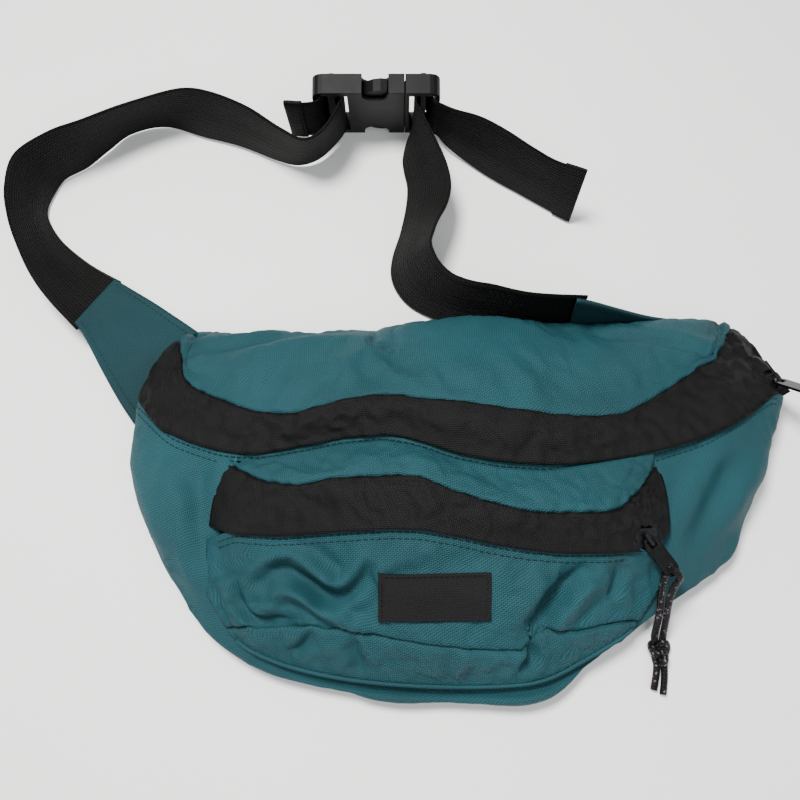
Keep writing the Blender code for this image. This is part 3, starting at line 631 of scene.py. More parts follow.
def press_rows(grid, moves):
    """Moves whole rows along their normals, by {row: mm}."""
    normals = outward(grid)
    for row, height in moves.items():
        grid[row] += normals[row] * height


def clear_of_slider(grid, zipper, radius):
    """Draws a panel back from a slider; returns the cells that are cut away."""
    point, _, _, normal = arc_frame(zipper, zipper["slider"])
    offset = grid - point
    height = offset @ normal
    flat = offset - height[:, :, None] * normal
    distance = np.linalg.norm(flat, axis=2)
    inside = (distance < radius) & (np.abs(height) < SLIDER_REACH)
    cut = inside[:-1, :-1] & inside[1:, :-1] & inside[:-1, 1:] & inside[1:, 1:]
    push = flat / np.maximum(distance, 1e-6)[:, :, None] * (radius - distance)[:, :, None]
    grid[inside] += push[inside]
    return cut


def cloth_piece(name, grid, slot, node_name, cut=None, thick=CLOTH_THICK):
    """A cloth panel from a grid, without the cells that were cut away."""
    obj = grid_object(name, grid, MATS[slot])
    if cut is not None and cut.any():
        work = bmesh.new()
        work.from_mesh(obj.data)
        work.faces.ensure_lookup_table()
        doomed = [work.faces[i] for i in np.flatnonzero(cut.ravel())]
        bmesh.ops.delete(work, geom=doomed, context="FACES")
        work.to_mesh(obj.data)
        work.free()
    thicken(obj, thick)
    return finish_piece(obj, "pack", slot, node_name)


def storm_flap(prefix, grid, seam, cut, thick, zipper, stitched):
    """The black flap below a seam row, with its stitches."""
    band = grid[seam:]
    word = zipper["name"]
    flap = cloth_piece(f"{prefix}storm_flap", band, "black_fabric", f"{word}_flap", cut[seam:], thick)
    line, up = grid[seam + 2, stitched], outward(grid)[seam + 2, stitched]
    stitches(f"{prefix}flap_stitch", line, up, "black_fabric", 0.0)


def relax(grid, fixed_rows, furthest):
    """Lets a panel settle as cloth with some spare width, held at its seams."""
    rows, cols = grid.shape[:2]
    obj = grid_object("cloth_at_work", grid, MATS["teal_fabric"])
    hold = obj.vertex_groups.new(name="hold")
    for r, c in np.ndindex(rows, cols):
        away = min(c, cols - 1 - c, *(abs(r - row) for row in fixed_rows))
        weight = max(0.0, 1.0 - away / HOLD_WIDTH)
        if weight > 0:
            hold.add([r * cols + c], weight, "REPLACE")
    cloth = obj.modifiers.new("cloth", "CLOTH")
    settings = cloth.settings
    for key, value in CLOTH_SETTINGS.items():
        setattr(settings, key, value)
    settings.vertex_group_mass = "hold"
    settings.use_pressure = True
    settings.effector_weights.gravity = 0
    cloth.collision_settings.use_collision = False
    scene = bpy.context.scene
    for step in range(1, CLOTH_FRAMES + 1):
        scene.frame_set(step)
    shape = obj.evaluated_get(bpy.context.evaluated_depsgraph_get()).to_mesh()
    after = np.zeros(rows * cols * 3)
    shape.vertices.foreach_get("co", after)
    scene.frame_set(1)
    bpy.data.objects.remove(obj)
    move = after.reshape(rows, cols, 3) / MM - grid
    size = np.linalg.norm(move, axis=2, keepdims=True)
    print("cloth moved up to", round(float(size.max()), 2), "mm")
    return grid + move * np.minimum(1.0, furthest / np.maximum(size, 1e-9))


# -------------------------------------------------- camera, floor and lights


def camera_and_stage():
    """The camera over the pack, a pale table top and soft light from above."""
    data = bpy.data.cameras.new("camera")
    data.lens = 38.3
    data.sensor_width = 36.0
    data.clip_end = 20.0
    cam = bpy.data.objects.new("camera", data)
    cam.location = (-0.034, -0.135, 0.505)
    cam.rotation_euler = (math.radians(22.0), 0, 0)
    bpy.context.scene.collection.objects.link(cam)
    bpy.context.scene.camera = cam

    half = TABLE_SIZE / 2
    corners = [(-half, -half, 0), (half, -half, 0), (half, half, 0), (-half, half, 0)]
    mesh_object("table_top", corners, [(0, 1, 2, 3)], table_material())
    world = bpy.data.worlds.new("studio")
    bpy.context.scene.world = world
    world.use_nodes = True
    world.node_tree.nodes["Background"].inputs["Color"].default_value = (0.95, 0.97, 1.0, 1.0)
    world.node_tree.nodes["Background"].inputs["Strength"].default_value = 0.47
    for name, place, size, power, tint in (
        ("key_light", (-0.34, 0.26, 1.33), 0.42, 38.0, (1.0, 0.99, 0.97)),
        ("fill_light", (0.45, -0.85, 1.36), 1.3, 13.0, (0.97, 0.985, 1.0)),
    ):
        lamp = bpy.data.lights.new(name, "AREA")
        lamp.shape = "DISK"
        lamp.size = size
        lamp.energy = power
        lamp.color = tint
        obj = bpy.data.objects.new(name, lamp)
        obj.location = place
        aim = Vector((0, 0.05, 0.02)) - Vector(place)
        obj.rotation_euler = aim.to_track_quat("-Z", "Y").to_euler()
        bpy.context.scene.collection.objects.link(obj)


# --------------------------------------------------------------- pull cord

# Centre line of the cord: up from the knot, through the hole in the pull at HOLE_INDEX, over
# the pull's tip and back; then its two ends below the knot, and the knot itself
CORD_LOOP = [
    (110.4, -78.3, 6.6), (110.6, -73.0, 13.2), (111.0, -66.0, 20.6), (111.3, -61.0, 23.2),
    (111.8, -55.5, 26.4), (112.5, -50.5, 30.4), (112.9, -47.2, 33.8), (113.2, -45.9, 37.0),
    (113.6, -46.3, 40.3), (114.9, -48.1, 42.9), (116.7, -50.1, 42.9), (118.1, -51.6, 40.8),
    (118.1, -52.2, 37.8), (117.0, -54.2, 34.4), (115.7, -58.0, 30.2), (114.9, -63.0, 25.4),
    (114.9, -69.0, 19.0), (114.9, -74.5, 12.2), (115.0, -78.3, 7.6),
]
HOLE_INDEX = 8
CORD_ENDS = {
    "cord_end_a": [(110.6, -95.9, 3.4), (109.6, -101, 2.7), (107.9, -107, 2.5)],
    "cord_end_b": [(115.0, -95.9, 3.4), (114.4, -102, 2.7), (112.9, -109.5, 2.5)],
}
KNOT_AT = (112.8, -86.6, 5.1)
KNOT_SPREAD = (1.75, 2.3, -2.2)


def pull_cord():
    """Two strands from the pull's hole to an overhand knot, and its two ends."""
    radius = CORD_DIAMETER / 2
    mat = MATS["cord"]
    t = np.append(np.linspace(0, 2 * math.pi, 73)[:-1], 0)
    trefoil = np.column_stack(
        [np.sin(t) + 2 * np.sin(2 * t), np.cos(t) - 2 * np.cos(2 * t), np.sin(3 * t)]
    )
    knot = tube("knot", KNOT_AT + trefoil * KNOT_SPREAD, radius, mat, 12, 90)
    beyond = [finish_piece(knot, "pocket_pull", "cord", "cord_knot")]
    for name, points in CORD_ENDS.items():
        start = tuple(np.array(points[0]) + (0, 4.5, 1.2))
        end = tube(name.replace("cord", "loose"), [start] + points, radius * 0.98, mat, 12, 16)
        beyond.append(finish_piece(end, "pocket_pull", "cord", name))
    back = CORD_LOOP[HOLE_INDEX::-1] + [(110.9, -81.6, 5.4)]
    over = CORD_LOOP[HOLE_INDEX:] + [(114.6, -81.6, 5.8)]
    for name, points, extra in (("strand_back", back, beyond), ("strand_over", over, [])):
        path = smooth_line(points, 26)
        strand = tube(name, path, radius, mat, 12, 60)
        finish_piece(strand, "pocket_pull", "cord", "pull_cord")


# --------------------------------------------------------------- main bag

# Seam lines of the main compartment, each from the left end to the right end
TOP_SEAM = [
    (-162, 97, 5), (-148, 98, 5), (-100, 98, 5), (-50, 103, 5), (0, 107, 5), (50, 108, 5),
    (100, 108, 5), (150, 107, 5), (176, 107, 5),
]
TOP_ROLL = [
    (-168, 100, 5), (-163, 106, 19), (-130, 106, 20), (-90, 107, 17), (-55, 111, 17), (0, 115, 20),
    (55, 116, 18), (95, 115, 18), (130, 115, 22), (155, 116, 20), (170, 116, 14), (175, 107, 5),
]
TOP_CREST = [
    (-166, 98, 5), (-161, 101, 24), (-158, 79, 38), (-140, 74, 41), (-122, 81, 40), (-106, 88, 38),
    (-88, 92, 37), (-60, 91, 38), (-30, 88, 41), (0, 88, 41), (40, 89, 38), (80, 93, 32),
    (112, 91, 34), (134, 84, 38), (150, 88, 36), (167, 111, 20), (172, 106, 5),
]
FLAP_SEAM = [
    (-173, 98, 5), (-172, 99, 26), (-166, 76, 37), (-161, 65, 40), (-150, 57, 44), (-138, 51, 48),
    (-118, 42, 53), (-96, 38.5, 58), (-79, 41.5, 61), (-60, 45.5, 63.5), (-45, 47.5, 65),
    (-22, 44.5, 66.5), (0, 42, 67), (19, 39, 66), (47, 36.5, 64), (82, 36, 60), (99, 42, 56.5),
    (122, 57, 50), (143, 72, 44), (155, 79, 40), (168, 98, 31), (177, 111, 20), (181, 106, 5),
]
FLAP_LEFT_END = [(-189, 60, 5), (-194, 60, 24)]
FLAP_RIGHT_END = [(199, 66, 27), (196, 61, 5)]
FRONT_TOP_LEFT = [(-190, 56, 5), (-194, 59, 23)]
FRONT_TOP_RIGHT = [(200.5, 61, 23), (197.5, 57, 5)]
FRONT_BULGE = [
    (-188, 9, 5), (-193, 11, 24), (-168, -17, 36), (-120, -34, 33), (-60, -46, 34), (0, -52, 34),
    (60, -46, 34), (108, -28, 32), (150, -2, 34), (180, 15, 24), (176, 12, 5),
]
FRONT_LOW = [
    (-171, -32, 5), (-173, -34, 18), (-148, -64, 20), (-106, -86, 19), (-53, -96, 19),
    (0, -100, 19), (40, -99, 19), (74, -84, 19), (106, -64, 19), (134, -46, 19), (163, -25, 17),
    (160, -22, 5),
]
BOTTOM_ROLL = [
    (-161, -46, 5), (-162, -52, 12), (-143, -77, 14), (-108, -98, 14), (-53, -110, 14),
    (0, -113, 14), (42, -112, 14), (74, -93, 14), (104, -71, 14), (132, -53, 14), (154, -38, 12),
    (154, -31, 5),
]
BOTTOM_SEAM = [
    (-154, -56, 5), (-137, -74, 5), (-105, -93, 5), (-53, -104, 5), (0, -108, 5), (40, -107, 5),
    (70, -89, 5), (100, -67, 5), (130, -48, 5), (147, -37, 5),
]

# Rumples pressed into the panels: place, reach, crease size, height, seed
MAIN_FLAP_RUMPLES = [
    ((176, 92, 28), 26, 8, 2.2, 2.5), ((-180, 78, 32), 24, 8, 1.8, 4.5),
    ((-110, 36, 55), 30, 11, 1.3, 6.5), ((-72, 34, 62), 30, 9, 1.6, 8.5),
    ((60, 24, 62), 34, 13, 0.9, 10.5), ((120, 42, 50), 30, 11, 1.3, 12.5),
    ((-150, 52, 42), 24, 9, 1.4, 18.5), ((150, 62, 40), 24, 9, 1.5, 19.5),
]
MAIN_TOP_RUMPLES = [
    ((-45, 64, 54), 26, 22, 1.2, 14.5), ((95, 60, 48), 26, 22, 1.2, 16.5),
    ((30, 62, 54), 24, 22, 0.8, 20.5), ((-104, 62, 46), 22, 20, 0.9, 22.5),
]
MAIN_FRONT_RUMPLES = [
    ((165, 0, 30), 30, 20, 1.3, 33.5), ((140, -38, 25), 24, 16, 1.1, 35.5),
    ((-168, 20, 30), 28, 20, 1.2, 37.5), ((-150, -40, 25), 26, 16, 1.2, 39.5),
    ((-178, 48, 28), 16, 10, 0.9, 41.5), ((185, 40, 24), 16, 10, 0.9, 43.5),
]

# Creases pressed into the panels: points in plan, width, height
MAIN_TOP_CREASES = [
    ([(-52, 87), (-63, 71), (-73, 55)], 9, 1.8), ([(-52, 87), (-40, 68), (-30, 52)], 9, 1.2),
    ([(60, 92), (40, 70), (35, 50)], 12, 0.9), ([(110, 84), (100, 66), (96, 52)], 10, 1.0),
    ([(-120, 76), (-112, 62), (-108, 50)], 9, 1.1),
    ([(-172, 82), (-148, 87), (-118, 92), (-88, 99), (-50, 102)], 5.0, -3.2),
    ([(84, 102), (104, 98), (128, 92), (150, 85), (168, 84)], 4.5, -3.4),
]
MAIN_FRONT_CREASES = [
    ([(186, 24), (165, 0), (150, -18), (136, -36)], 6.5, 2.8),
    ([(168, 28), (152, 6), (140, -14), (132, -28)], 7, -2.8),
    ([(140, 8), (130, -14), (119, -34)], 7, 2.2),
    ([(-182, 30), (-168, 2), (-150, -34), (-134, -66)], 10, 2.6),
    ([(-150, 14), (-147, -10), (-148, -36)], 6, -2.4),
    ([(-140, 12), (-150, 4), (-164, 2)], 6, -1.8), ([(-188, 18), (-178, -8), (-164, -40)], 6, 1.0),
]

# The pocket in plan: its middle, half its size, and how far its stillness fades out
POCKET_MIDDLE, POCKET_HALF, POCKET_FADE = (-13, -46), (118, 54), 16.0

# The back panel's ends between the bag's seams, and its rings: share of the outline, height
BACK_RIGHT = [(183, 103, 5), (190, 88, 5), (192, 60, 5), (186, 30, 5), (173, 0, 5), (157, -26, 5)]
BACK_LEFT = [(-160, -44, 5), (-175, -14, 5), (-186, 20, 5), (-190, 52, 5), (-184, 80, 5)]
BACK_RINGS = [
    (0.0, 1.2), (0.3, 0.9), (0.6, 0.55), (0.85, 0.3), (0.965, 0.3), (0.99, 1.0), (1.0, 2.2),
    (0.992, 3.4), (0.96, 4.0),
]


def main_bag():
    """Top panel, storm flap and front panel of the main compartment."""
    edge = FLAP_LEFT_END + wavy_rail(MAIN_ZIP, (-29, 30), 0.0, 20, 6.6) + FLAP_RIGHT_END
    grid, steps = fine_loft([TOP_SEAM, TOP_ROLL, TOP_CREST, FLAP_SEAM, edge])
    seam, foot = 3 * steps, grid.shape[0] - 1
    top = slice(0, seam + 1)
    normals = outward(grid)
    bulge_ends(grid[seam:], columns=15, push=12.0)
    before = grid.copy()
    crumple(grid, normals, size=62.0, height=1.7, seed=3.0)
    folds(grid, normals, MAIN_TOP_CREASES)
    rumples(grid[seam:], normals[seam:], MAIN_FLAP_RUMPLES)
    rumples(grid[top], normals[top], MAIN_TOP_RUMPLES)
    seam_gathers(grid, normals, seam, reach=11.0, height=1.5, pitch=8.5, seed=21.0)
    seam_gathers(grid, normals, foot, reach=9.0, height=0.8, pitch=7.0, seed=33.0)
    grid[top] = fade_edges(grid[top], before[top], 9, 16, bottom=False)
    grid = fade_edges(grid, before, 3, 4, bottom=False)
    grid = relax(grid, [0, seam, foot], furthest=4.0)
    press_rows(grid, {seam: -0.9, seam - 1: -0.25, seam + 1: 0.25})
    cut = clear_of_slider(grid, MAIN_ZIP, radius=8.5)
    cloth_piece("top_cloth", grid[top], "teal_fabric", "main_top_panel")
    storm_flap("", grid, seam, cut, 1.5, MAIN_ZIP, slice(6, -8))

    upper = FRONT_TOP_LEFT + wavy_rail(MAIN_ZIP, (-28, 31.5), *UNDER_FLAP, 4.2) + FRONT_TOP_RIGHT
    front, _ = fine_loft([upper, FRONT_BULGE, FRONT_LOW, BOTTOM_ROLL, BOTTOM_SEAM])
    normals = outward(front)
    before = front.copy()
    crumple(front, normals, size=70.0, height=1.8, seed=8.0)
    folds(front, normals, MAIN_FRONT_CREASES)
    seam_gathers(front, normals, 0, reach=12.0, height=1.1, pitch=10.0, seed=55.0)
    seam_gathers(front, normals, front.shape[0] - 1, reach=9.0, height=0.12, pitch=22.0, seed=66.0)
    rumples(front, normals, MAIN_FRONT_RUMPLES)
    still_under_pocket(front, before)
    gap = [(x, y - 3.2) for x, y, _ in POCKET_BOTTOM[1:-1]]
    folds(front, normals, [(gap, 2.7, -5.0)])
    front = fade_edges(front, before, 3, 5)
    cut = clear_of_slider(front, MAIN_ZIP, radius=7.6)
    normals = outward(front)
    cloth_piece("front_cloth", front, "teal_fabric", "main_front_panel", cut)
    for k, below in enumerate((1.7, 5.6)):
        line, up = hem_line(front, normals, MAIN_ZIP, below)
        left, right = np.searchsorted(line[:, 0], (-135, 109))
        spans = [(6, left), (right, -10)] if k else [(6, -10)]
        for n, (first, last) in enumerate(spans):
            part = f"front_stitch_{k}_{n}"
            stitches(part, line[first:last], up[first:last], "teal_fabric")


def still_under_pocket(grid, before):
    """Leaves the front cloth as it was where the pocket lies on it."""
    past = np.maximum(np.abs(grid[:, :, :2] - POCKET_MIDDLE) - POCKET_HALF, 0)
    keep = np.clip(np.linalg.norm(past, axis=2) / POCKET_FADE, 0, 1)[:, :, None]
    grid[:] = before + (grid - before) * keep


def back_cloth():
    """The padded back panel: a quilted black slab with a bound edge."""
    _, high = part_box("back_panel")
    rim = TOP_SEAM + BACK_RIGHT + BOTTOM_SEAM[::-1] + BACK_LEFT + TOP_SEAM[:1]
    outline = smooth_line([(x, y, 0) for x, y, _ in rim], 240)[:-1]
    inset = min(1.0, high.x / MM / outline[:, 0].max())
    centre = outline.mean(axis=0)
    verts = []
    for share, z in BACK_RINGS:
        for x, y, _ in centre + (outline - centre) * share * inset:
            quilt = 0.25 * math.sin(x / 7.0) * math.sin(y / 7.0) if 0.3 < z < 1.3 else 0.0
            verts.append((x, y, max(0.15, z + quilt)))
    faces = ring_faces(len(BACK_RINGS), len(outline))
    obj = mesh_object("back_pad", verts, faces, MATS["back_fabric"], [(v[0], v[1]) for v in verts])
    turn_outward(obj, 0.2)
    finish_piece(obj, "pack", "back_fabric", "back_panel")


# -------------------------------------------------------------- front pocket

# Seam lines of the pocket, each from the left end to the right end, and its wrinkles
POCKET_SEAM = [
    (-131, 13, 43), (-121, 5, 52), (-109, -1.5, 58), (-97, -4.7, 63), (-84, -5.5, 66.5),
    (-70, -3.4, 70), (-50, -3, 72.5), (-32, -3, 74), (-23, -4.3, 74.5), (-8, -10.3, 75),
    (15, -18, 74), (36, -22, 71), (56, -21.5, 67), (81, -19, 61), (94, -9, 56), (105, 3, 50),
    (111, 13, 44),
]
POCKET_EDGE_LEFT = (-141, -22, 37)
POCKET_EDGE_RIGHT = (117, -25, 37)
POCKET_FRONT_LEFT = (-142, -29, 35)
POCKET_FRONT_RIGHT = (116, -38, 31)
POCKET_BELLY = [
    (-142, -56, 26), (-124, -50, 38), (-100, -52, 46.5), (-60, -56, 51), (-20, -60, 52),
    (20, -62, 52), (58, -58, 47), (88, -50, 40), (114, -50, 27),
]
POCKET_FOLD = [
    (-130, -76, 22), (-118, -76, 29), (-92, -76, 37), (-64, -79, 39), (-20, -87, 40), (18, -90, 39),
    (34, -88, 37), (40, -79, 39), (60, -79, 36), (86, -74, 30), (99, -72, 20),
]
POCKET_BOTTOM = [
    (-127, -80, 20), (-113, -89, 20.5), (-90, -97, 20), (-58, -103, 19), (-20, -106, 19),
    (20, -106, 19), (44, -103, 19), (66, -93, 19), (86, -82, 20), (98, -74, 19),
]
POCKET_RUMPLES = [
    ((98, -10, 52), 20, 6.5, 2.3, 3.5), ((-124, -4, 48), 20, 8, 1.8, 5.5),
    ((-96, -8, 60), 20, 8, 1.5, 7.5), ((72, -24, 62), 24, 8, 1.6, 9.5),
    ((10, -20, 70), 30, 10, 0.8, 11.5), ((-44, -12, 72), 28, 9, 1.1, 13.5),
]
POCKET_FRONT_RUMPLES = [
    ((-112, -60, 38), 24, 15, 1.5, 21.5), ((-60, -72, 44), 26, 15, 1.2, 23.5),
    ((30, -78, 42), 26, 15, 1.3, 25.5), ((84, -60, 38), 22, 14, 1.0, 27.5),
    ((-80, -94, 28), 22, 12, 1.0, 29.5), ((20, -99, 26), 24, 12, 1.0, 31.5),
]
POCKET_TOP_CREASES = [
    ([(-70, -3), (-66, -12), (-64, -24)], 6, 1.3), ([(-24, -6), (-20, -14), (-18, -26)], 6, 1.2),
    ([(20, -15), (24, -24), (26, -34)], 6, 1.0), ([(66, -18), (70, -26), (72, -36)], 6, 1.2),
    ([(-100, -6), (-96, -16), (-98, -26)], 6, 1.3),
]
POCKET_FRONT_CREASES = [
    ([(-112, -46), (-106, -41), (-95, -40), (-83, -44),
      (-76, -50), (-67, -56), (-61, -53), (-52, -44)], 5.5, 3.6),
    ([(-114, -58), (-108, -54), (-97, -48),
      (-83, -55), (-73, -61), (-61, -60), (-53, -50)], 5.0, -3.2),
    ([(-108, -70), (-104, -66), (-96, -60),
      (-86, -62), (-74, -69), (-61, -76), (-46, -81)], 5.0, 3.2),
    ([(-122, -56), (-120, -66), (-112, -73), (-98, -74), (-87, -75)], 4.5, -3.0),
    ([(-130, -52), (-128, -62), (-122, -72)], 5.0, 2.0),
    ([(67, -44), (55, -57), (42, -71), (34, -84)], 7.0, -4.2),
    ([(80, -46), (68, -56), (54, -70), (46, -80)], 7.0, 2.2),
    ([(42, -46), (36, -60), (26, -76)], 8.0, 2.0), ([(90, -42), (84, -50), (80, -64)], 6.0, -1.4),
    ([(-40, -44), (-44, -52), (-42, -62)], 5.0, 1.4),
]
GUSSET_CREASES = [
    ([(-80, -79), (-84, -84), (-92, -90)], 4.0, -2.0),
    ([(-62, -81), (-58, -91), (-54, -100)], 4.5, -1.8),
    ([(34, -84), (37, -92), (30, -101)], 4.0, -2.6), ([(2, -92), (-2, -98), (-4, -103)], 4.5, 1.0),
]

# The blank patch: its middle and half its size in plan, and the points of its grid
LABEL_AT = (-16.0, -64.0)
LABEL_HALF = (29.5, 11.6)
LABEL_ROWS, LABEL_COLS = 25, 61


def pocket():
    """Top, storm flap, front and gusset of the pocket; returns the grid of the last two."""
    top = [(-132, 14, 42)] + wavy_rail(MAIN_ZIP, (-19.5, 16.5), 2.6, 12.5, 5.2) + [(111, 14, 43)]
    edge = wavy_rail(POCKET_ZIP, (-17.5, 18.3), 0.0, 20, 6.8)
    grid, seam = fine_loft([top, POCKET_SEAM, [POCKET_EDGE_LEFT] + edge + [POCKET_EDGE_RIGHT]], 2.0)
    normals = outward(grid)
    bulge_ends(grid[seam:], columns=10, push=2.5)
    before = grid.copy()
    crumple(grid, normals, size=40.0, height=1.4, seed=12.0)
    folds(grid, normals, POCKET_TOP_CREASES)
    rumples(grid, normals, POCKET_RUMPLES)
    seam_gathers(grid, normals, seam, reach=9.0, height=1.3, pitch=8.0, seed=71.0)
    grid = fade_edges(grid, before, 3, 5, bottom=False)
    grid = relax(grid, [0, seam, grid.shape[0] - 1], furthest=3.0)
    press_rows(grid, {seam: -0.9, seam + 1: 0.25})
    cut = clear_of_slider(grid, POCKET_ZIP, radius=7.6)
    cloth_piece("pocket_top_cloth", grid[: seam + 1], "teal_fabric", "pocket_top_panel")
    storm_flap("pocket_", grid, seam, cut, 1.4, POCKET_ZIP, slice(5, -14))

    upper = wavy_rail(POCKET_ZIP, (-17.5, 17.5), *UNDER_FLAP, 4.4)
    upper = [POCKET_FRONT_LEFT] + upper + [POCKET_FRONT_RIGHT]
    lower, steps = fine_loft([upper, POCKET_BELLY, POCKET_FOLD, POCKET_BOTTOM], 2.0)
    fold = 2 * steps
    normals = outward(lower)
    before = lower.copy()
    crumple(lower, normals, size=34.0, height=1.3, seed=17.0)
    rumples(lower, normals, POCKET_FRONT_RUMPLES)
    folds(lower[:fold], normals[:fold], POCKET_FRONT_CREASES, wider=0.74, higher=1.65)
    folds(lower[fold:], normals[fold:], GUSSET_CREASES, wider=0.8, higher=1.9)
    seam_gathers(lower, normals, 0, reach=9.0, height=1.2, pitch=8.0, seed=81.0)
    lower[:fold] = fade_edges(lower[:fold], before[:fold], 12, 3, bottom=False)
    lower = fade_edges(lower, before, 3, 5)
    lower = relax(lower, [0, fold, lower.shape[0] - 1], furthest=3.5)
    press_rows(lower, {fold: -1.3, fold - 1: 0.2})
    cut = clear_of_slider(lower, POCKET_ZIP, radius=7.2)
    normals = outward(lower)
    cloth_piece(
        "pocket_front_cloth", lower[: fold + 1], "teal_fabric", "pocket_front_panel", cut[:fold]
    )
    cloth_piece("pocket_gusset_cloth", lower[fold:], "teal_fabric", "pocket_gusset")
    seam_line = lower[-1] + normals[-1] * 0.2
    piping = tube("pocket_piping", seam_line[2:-2], 1.15, MATS["teal_fabric"], 8, 160)
    finish_piece(piping, "pack", "teal_fabric")
    for k, below in enumerate((2.0, 5.5)):
        line, up = hem_line(lower, normals, POCKET_ZIP, below)
        stitches(f"pocket_front_stitch_{k}", line[5:-16], up[5:-16], "teal_fabric")
    return lower


def label(lower):
    """A blank woven patch with a raised border, sewn to the pocket."""
    tree = BVHTree.FromPolygons([tuple(p) for p in lower.reshape(-1, 3)], grid_faces(*lower.shape[:2]))
    x, y = np.meshgrid(
        np.linspace(-LABEL_HALF[0], LABEL_HALF[0], LABEL_COLS),
        np.linspace(LABEL_HALF[1], -LABEL_HALF[1], LABEL_ROWS),
    )
    heights = np.zeros(x.shape)
    for spot in np.ndindex(x.shape):
        above = Vector((LABEL_AT[0] + x[spot], LABEL_AT[1] + y[spot], 200))
        heights[spot] = tree.ray_cast(above, Vector((0, 0, -1)))[0].z
    for _ in range(30):
        padded = np.pad(heights, 1, mode="edge")
        mean = (padded[:-2, 1:-1] + padded[2:, 1:-1] + padded[1:-1, :-2] + padded[1:-1, 2:]) / 4
        heights = np.maximum(mean, heights - 0.02)
    rim = np.minimum(LABEL_HALF[0] - np.abs(x), (LABEL_HALF[1] - np.abs(y)) / 0.87)
    raised = np.where(rim < 2.2, 0.35, 0.0)
    grid = np.dstack([LABEL_AT[0] + x, LABEL_AT[1] + y, heights + 1.1 + raised])
    cloth_piece("blank_patch", grid, "woven_label", "label_patch", thick=0.9)
    low, right = LABEL_ROWS - 3, LABEL_COLS - 3
    ring = [(2, c) for c in range(3, right)] + [(r, right) for r in range(3, low)]
    ring += [(low, c) for c in range(right, 2, -1)] + [(r, 2) for r in range(low, 1, -1)]
    line = np.array([grid[spot] for spot in ring])
    up = np.tile((0.0, -0.45, 0.89), (len(line), 1))
    stitches("patch_stitch", line, up, "woven_label", 0.15, 2.2, 2.9)


# ------------------------------------------------------- webbing and wings

# Both edges of the webbing, lower and upper, from the bag to the buckle
LEFT_BELT = [
    (-222, 151, 5, -239, 111, 19), (-246, 169, 3, -256, 124, 27), (-266, 186, 2, -271, 143, 30),
    (-278, 202, 1.5, -282, 165, 35), (-281, 213, 1.5, -288, 182, 40),
    (-278, 226, 1.5, -292, 203, 43), (-272, 238, 1.5, -288, 225, 47),
    (-258, 248, 1.5, -268, 240, 50), (-244, 263, 1.5, -246, 250, 51),
    (-230, 278, 1.5, -218, 266, 48), (-204, 284, 1.5, -186, 278, 48),
    (-174, 274, 1.5, -162, 273, 51), (-148, 266, 1.5, -137, 261, 51),
    (-122, 254, 1.5, -113, 243, 51), (-106, 250, 2, -98, 235, 50), (-92, 254, 4, -86, 240, 52),
    (-80, 266, 6, -78, 252, 54), (-74, 276, 6.5, -74, 262, 54.5),
]
RIGHT_BELT = [
    (80, 120.5, 1.5, 80, 116.8, 50), (47, 120.5, 1.5, 47, 118.6, 50.5),
    (22, 120.5, 1.5, 24, 124, 51), (2, 122, 1.5, 14, 127, 49), (-14, 127, 1.5, 5, 131, 48),
    (-27, 135, 1.5, -3, 137, 45), (-36, 146, 1.5, -10, 146, 45), (-40, 159, 1.5, -14, 158, 44),
    (-39, 174, 1.5, -12, 168, 43), (-34, 192, 1.5, -9, 177, 42), (-30, 213, 1.5, -3, 192, 38),
    (-29, 230, 1.5, 0, 208, 37), (-31, 243, 2, -3, 224, 39), (-32, 254, 3, -10, 238, 45),
    (-29, 266, 5, -18, 252, 51), (-25, 276, 6.5, -24, 262, 54.5),
]
RIGHT_TAIL = [
    (0, 264, 5, 3, 255, 54), (14, 252, 2, 20, 251, 52), (32, 238, 1.5, 37, 240, 51),
    (51, 225, 1.5, 54, 226, 51), (67, 214, 1.5, 68, 216, 51), (84, 203, 1.5, 87, 208, 51),
]

RIBS, RIB_HEIGHT = 11, 0.17

# How the webbing passes around the bars of the buckle, in the buckle's own plane
BUCKLE_CENTRE = (-50.0, 279.0, 31.2)
BUCKLE_LEAN = 105.0
LEFT_BIGHT = [
    (-23.8, 6.4), (-23.8, 0), (-24.6, -5.6), (-27, -8.9), (-30.3, -9.8), (-33.4, -8.9),
    (-35.4, -5.6), (-35.6, 0), (-36.4, 5.4), (-39.2, 9.2), (-44, 10.6), (-53, 11), (-62, 10.2),
]
RIGHT_BIGHT = [
    (26.4, 6.4), (26.4, 0), (27, -5.6), (29, -8.9), (31.8, -9.8), (34.6, -8.9), (36.3, -5.6),
    (36.5, 0), (37.2, 5.4), (39.6, 9.4), (43.5, 11.4),
]

# The long edges of the hip wings
WING_LEFT_OUTER = [
    (-241, 113.5, 21.5), (-235, 106, 19.5), (-222, 84, 17), (-211, 66, 14), (-202, 53, 11),
    (-190, 38, 8),
]
WING_LEFT_INNER = [
    (-225, 153, 7), (-215, 147, 6), (-198, 137, 4.5), (-182, 126, 4), (-162, 112, 3.5),
    (-146, 101, 3),
]
WING_RIGHT_TOP = [
    (73, 113.4, 52), (84, 113.6, 47.5), (102, 115, 36), (124, 116, 24), (146, 116.6, 17),
    (162, 117, 12),
]
WING_RIGHT_FOOT = [
    (76, 117.5, 1.8), (86, 117.5, 1.8), (102, 117.6, 1.8), (124, 117.8, 1.8), (146, 118, 1.8),
    (162, 118, 1.8),
]


def bight(points):
    """Stations of webbing that passes around a bar of the buckle."""
    lean = math.radians(BUCKLE_LEAN)
    across = np.array([0, math.cos(lean), math.sin(lean)])
    out = np.array([0, -math.sin(lean), math.cos(lean)])
    half = across * WEBBING_WIDTH / 2
    spots = [np.array(BUCKLE_CENTRE) + np.array([x, 0, 0]) + out * z for x, z in points]
    return [(*(spot - half), *(spot + half)) for spot in spots]


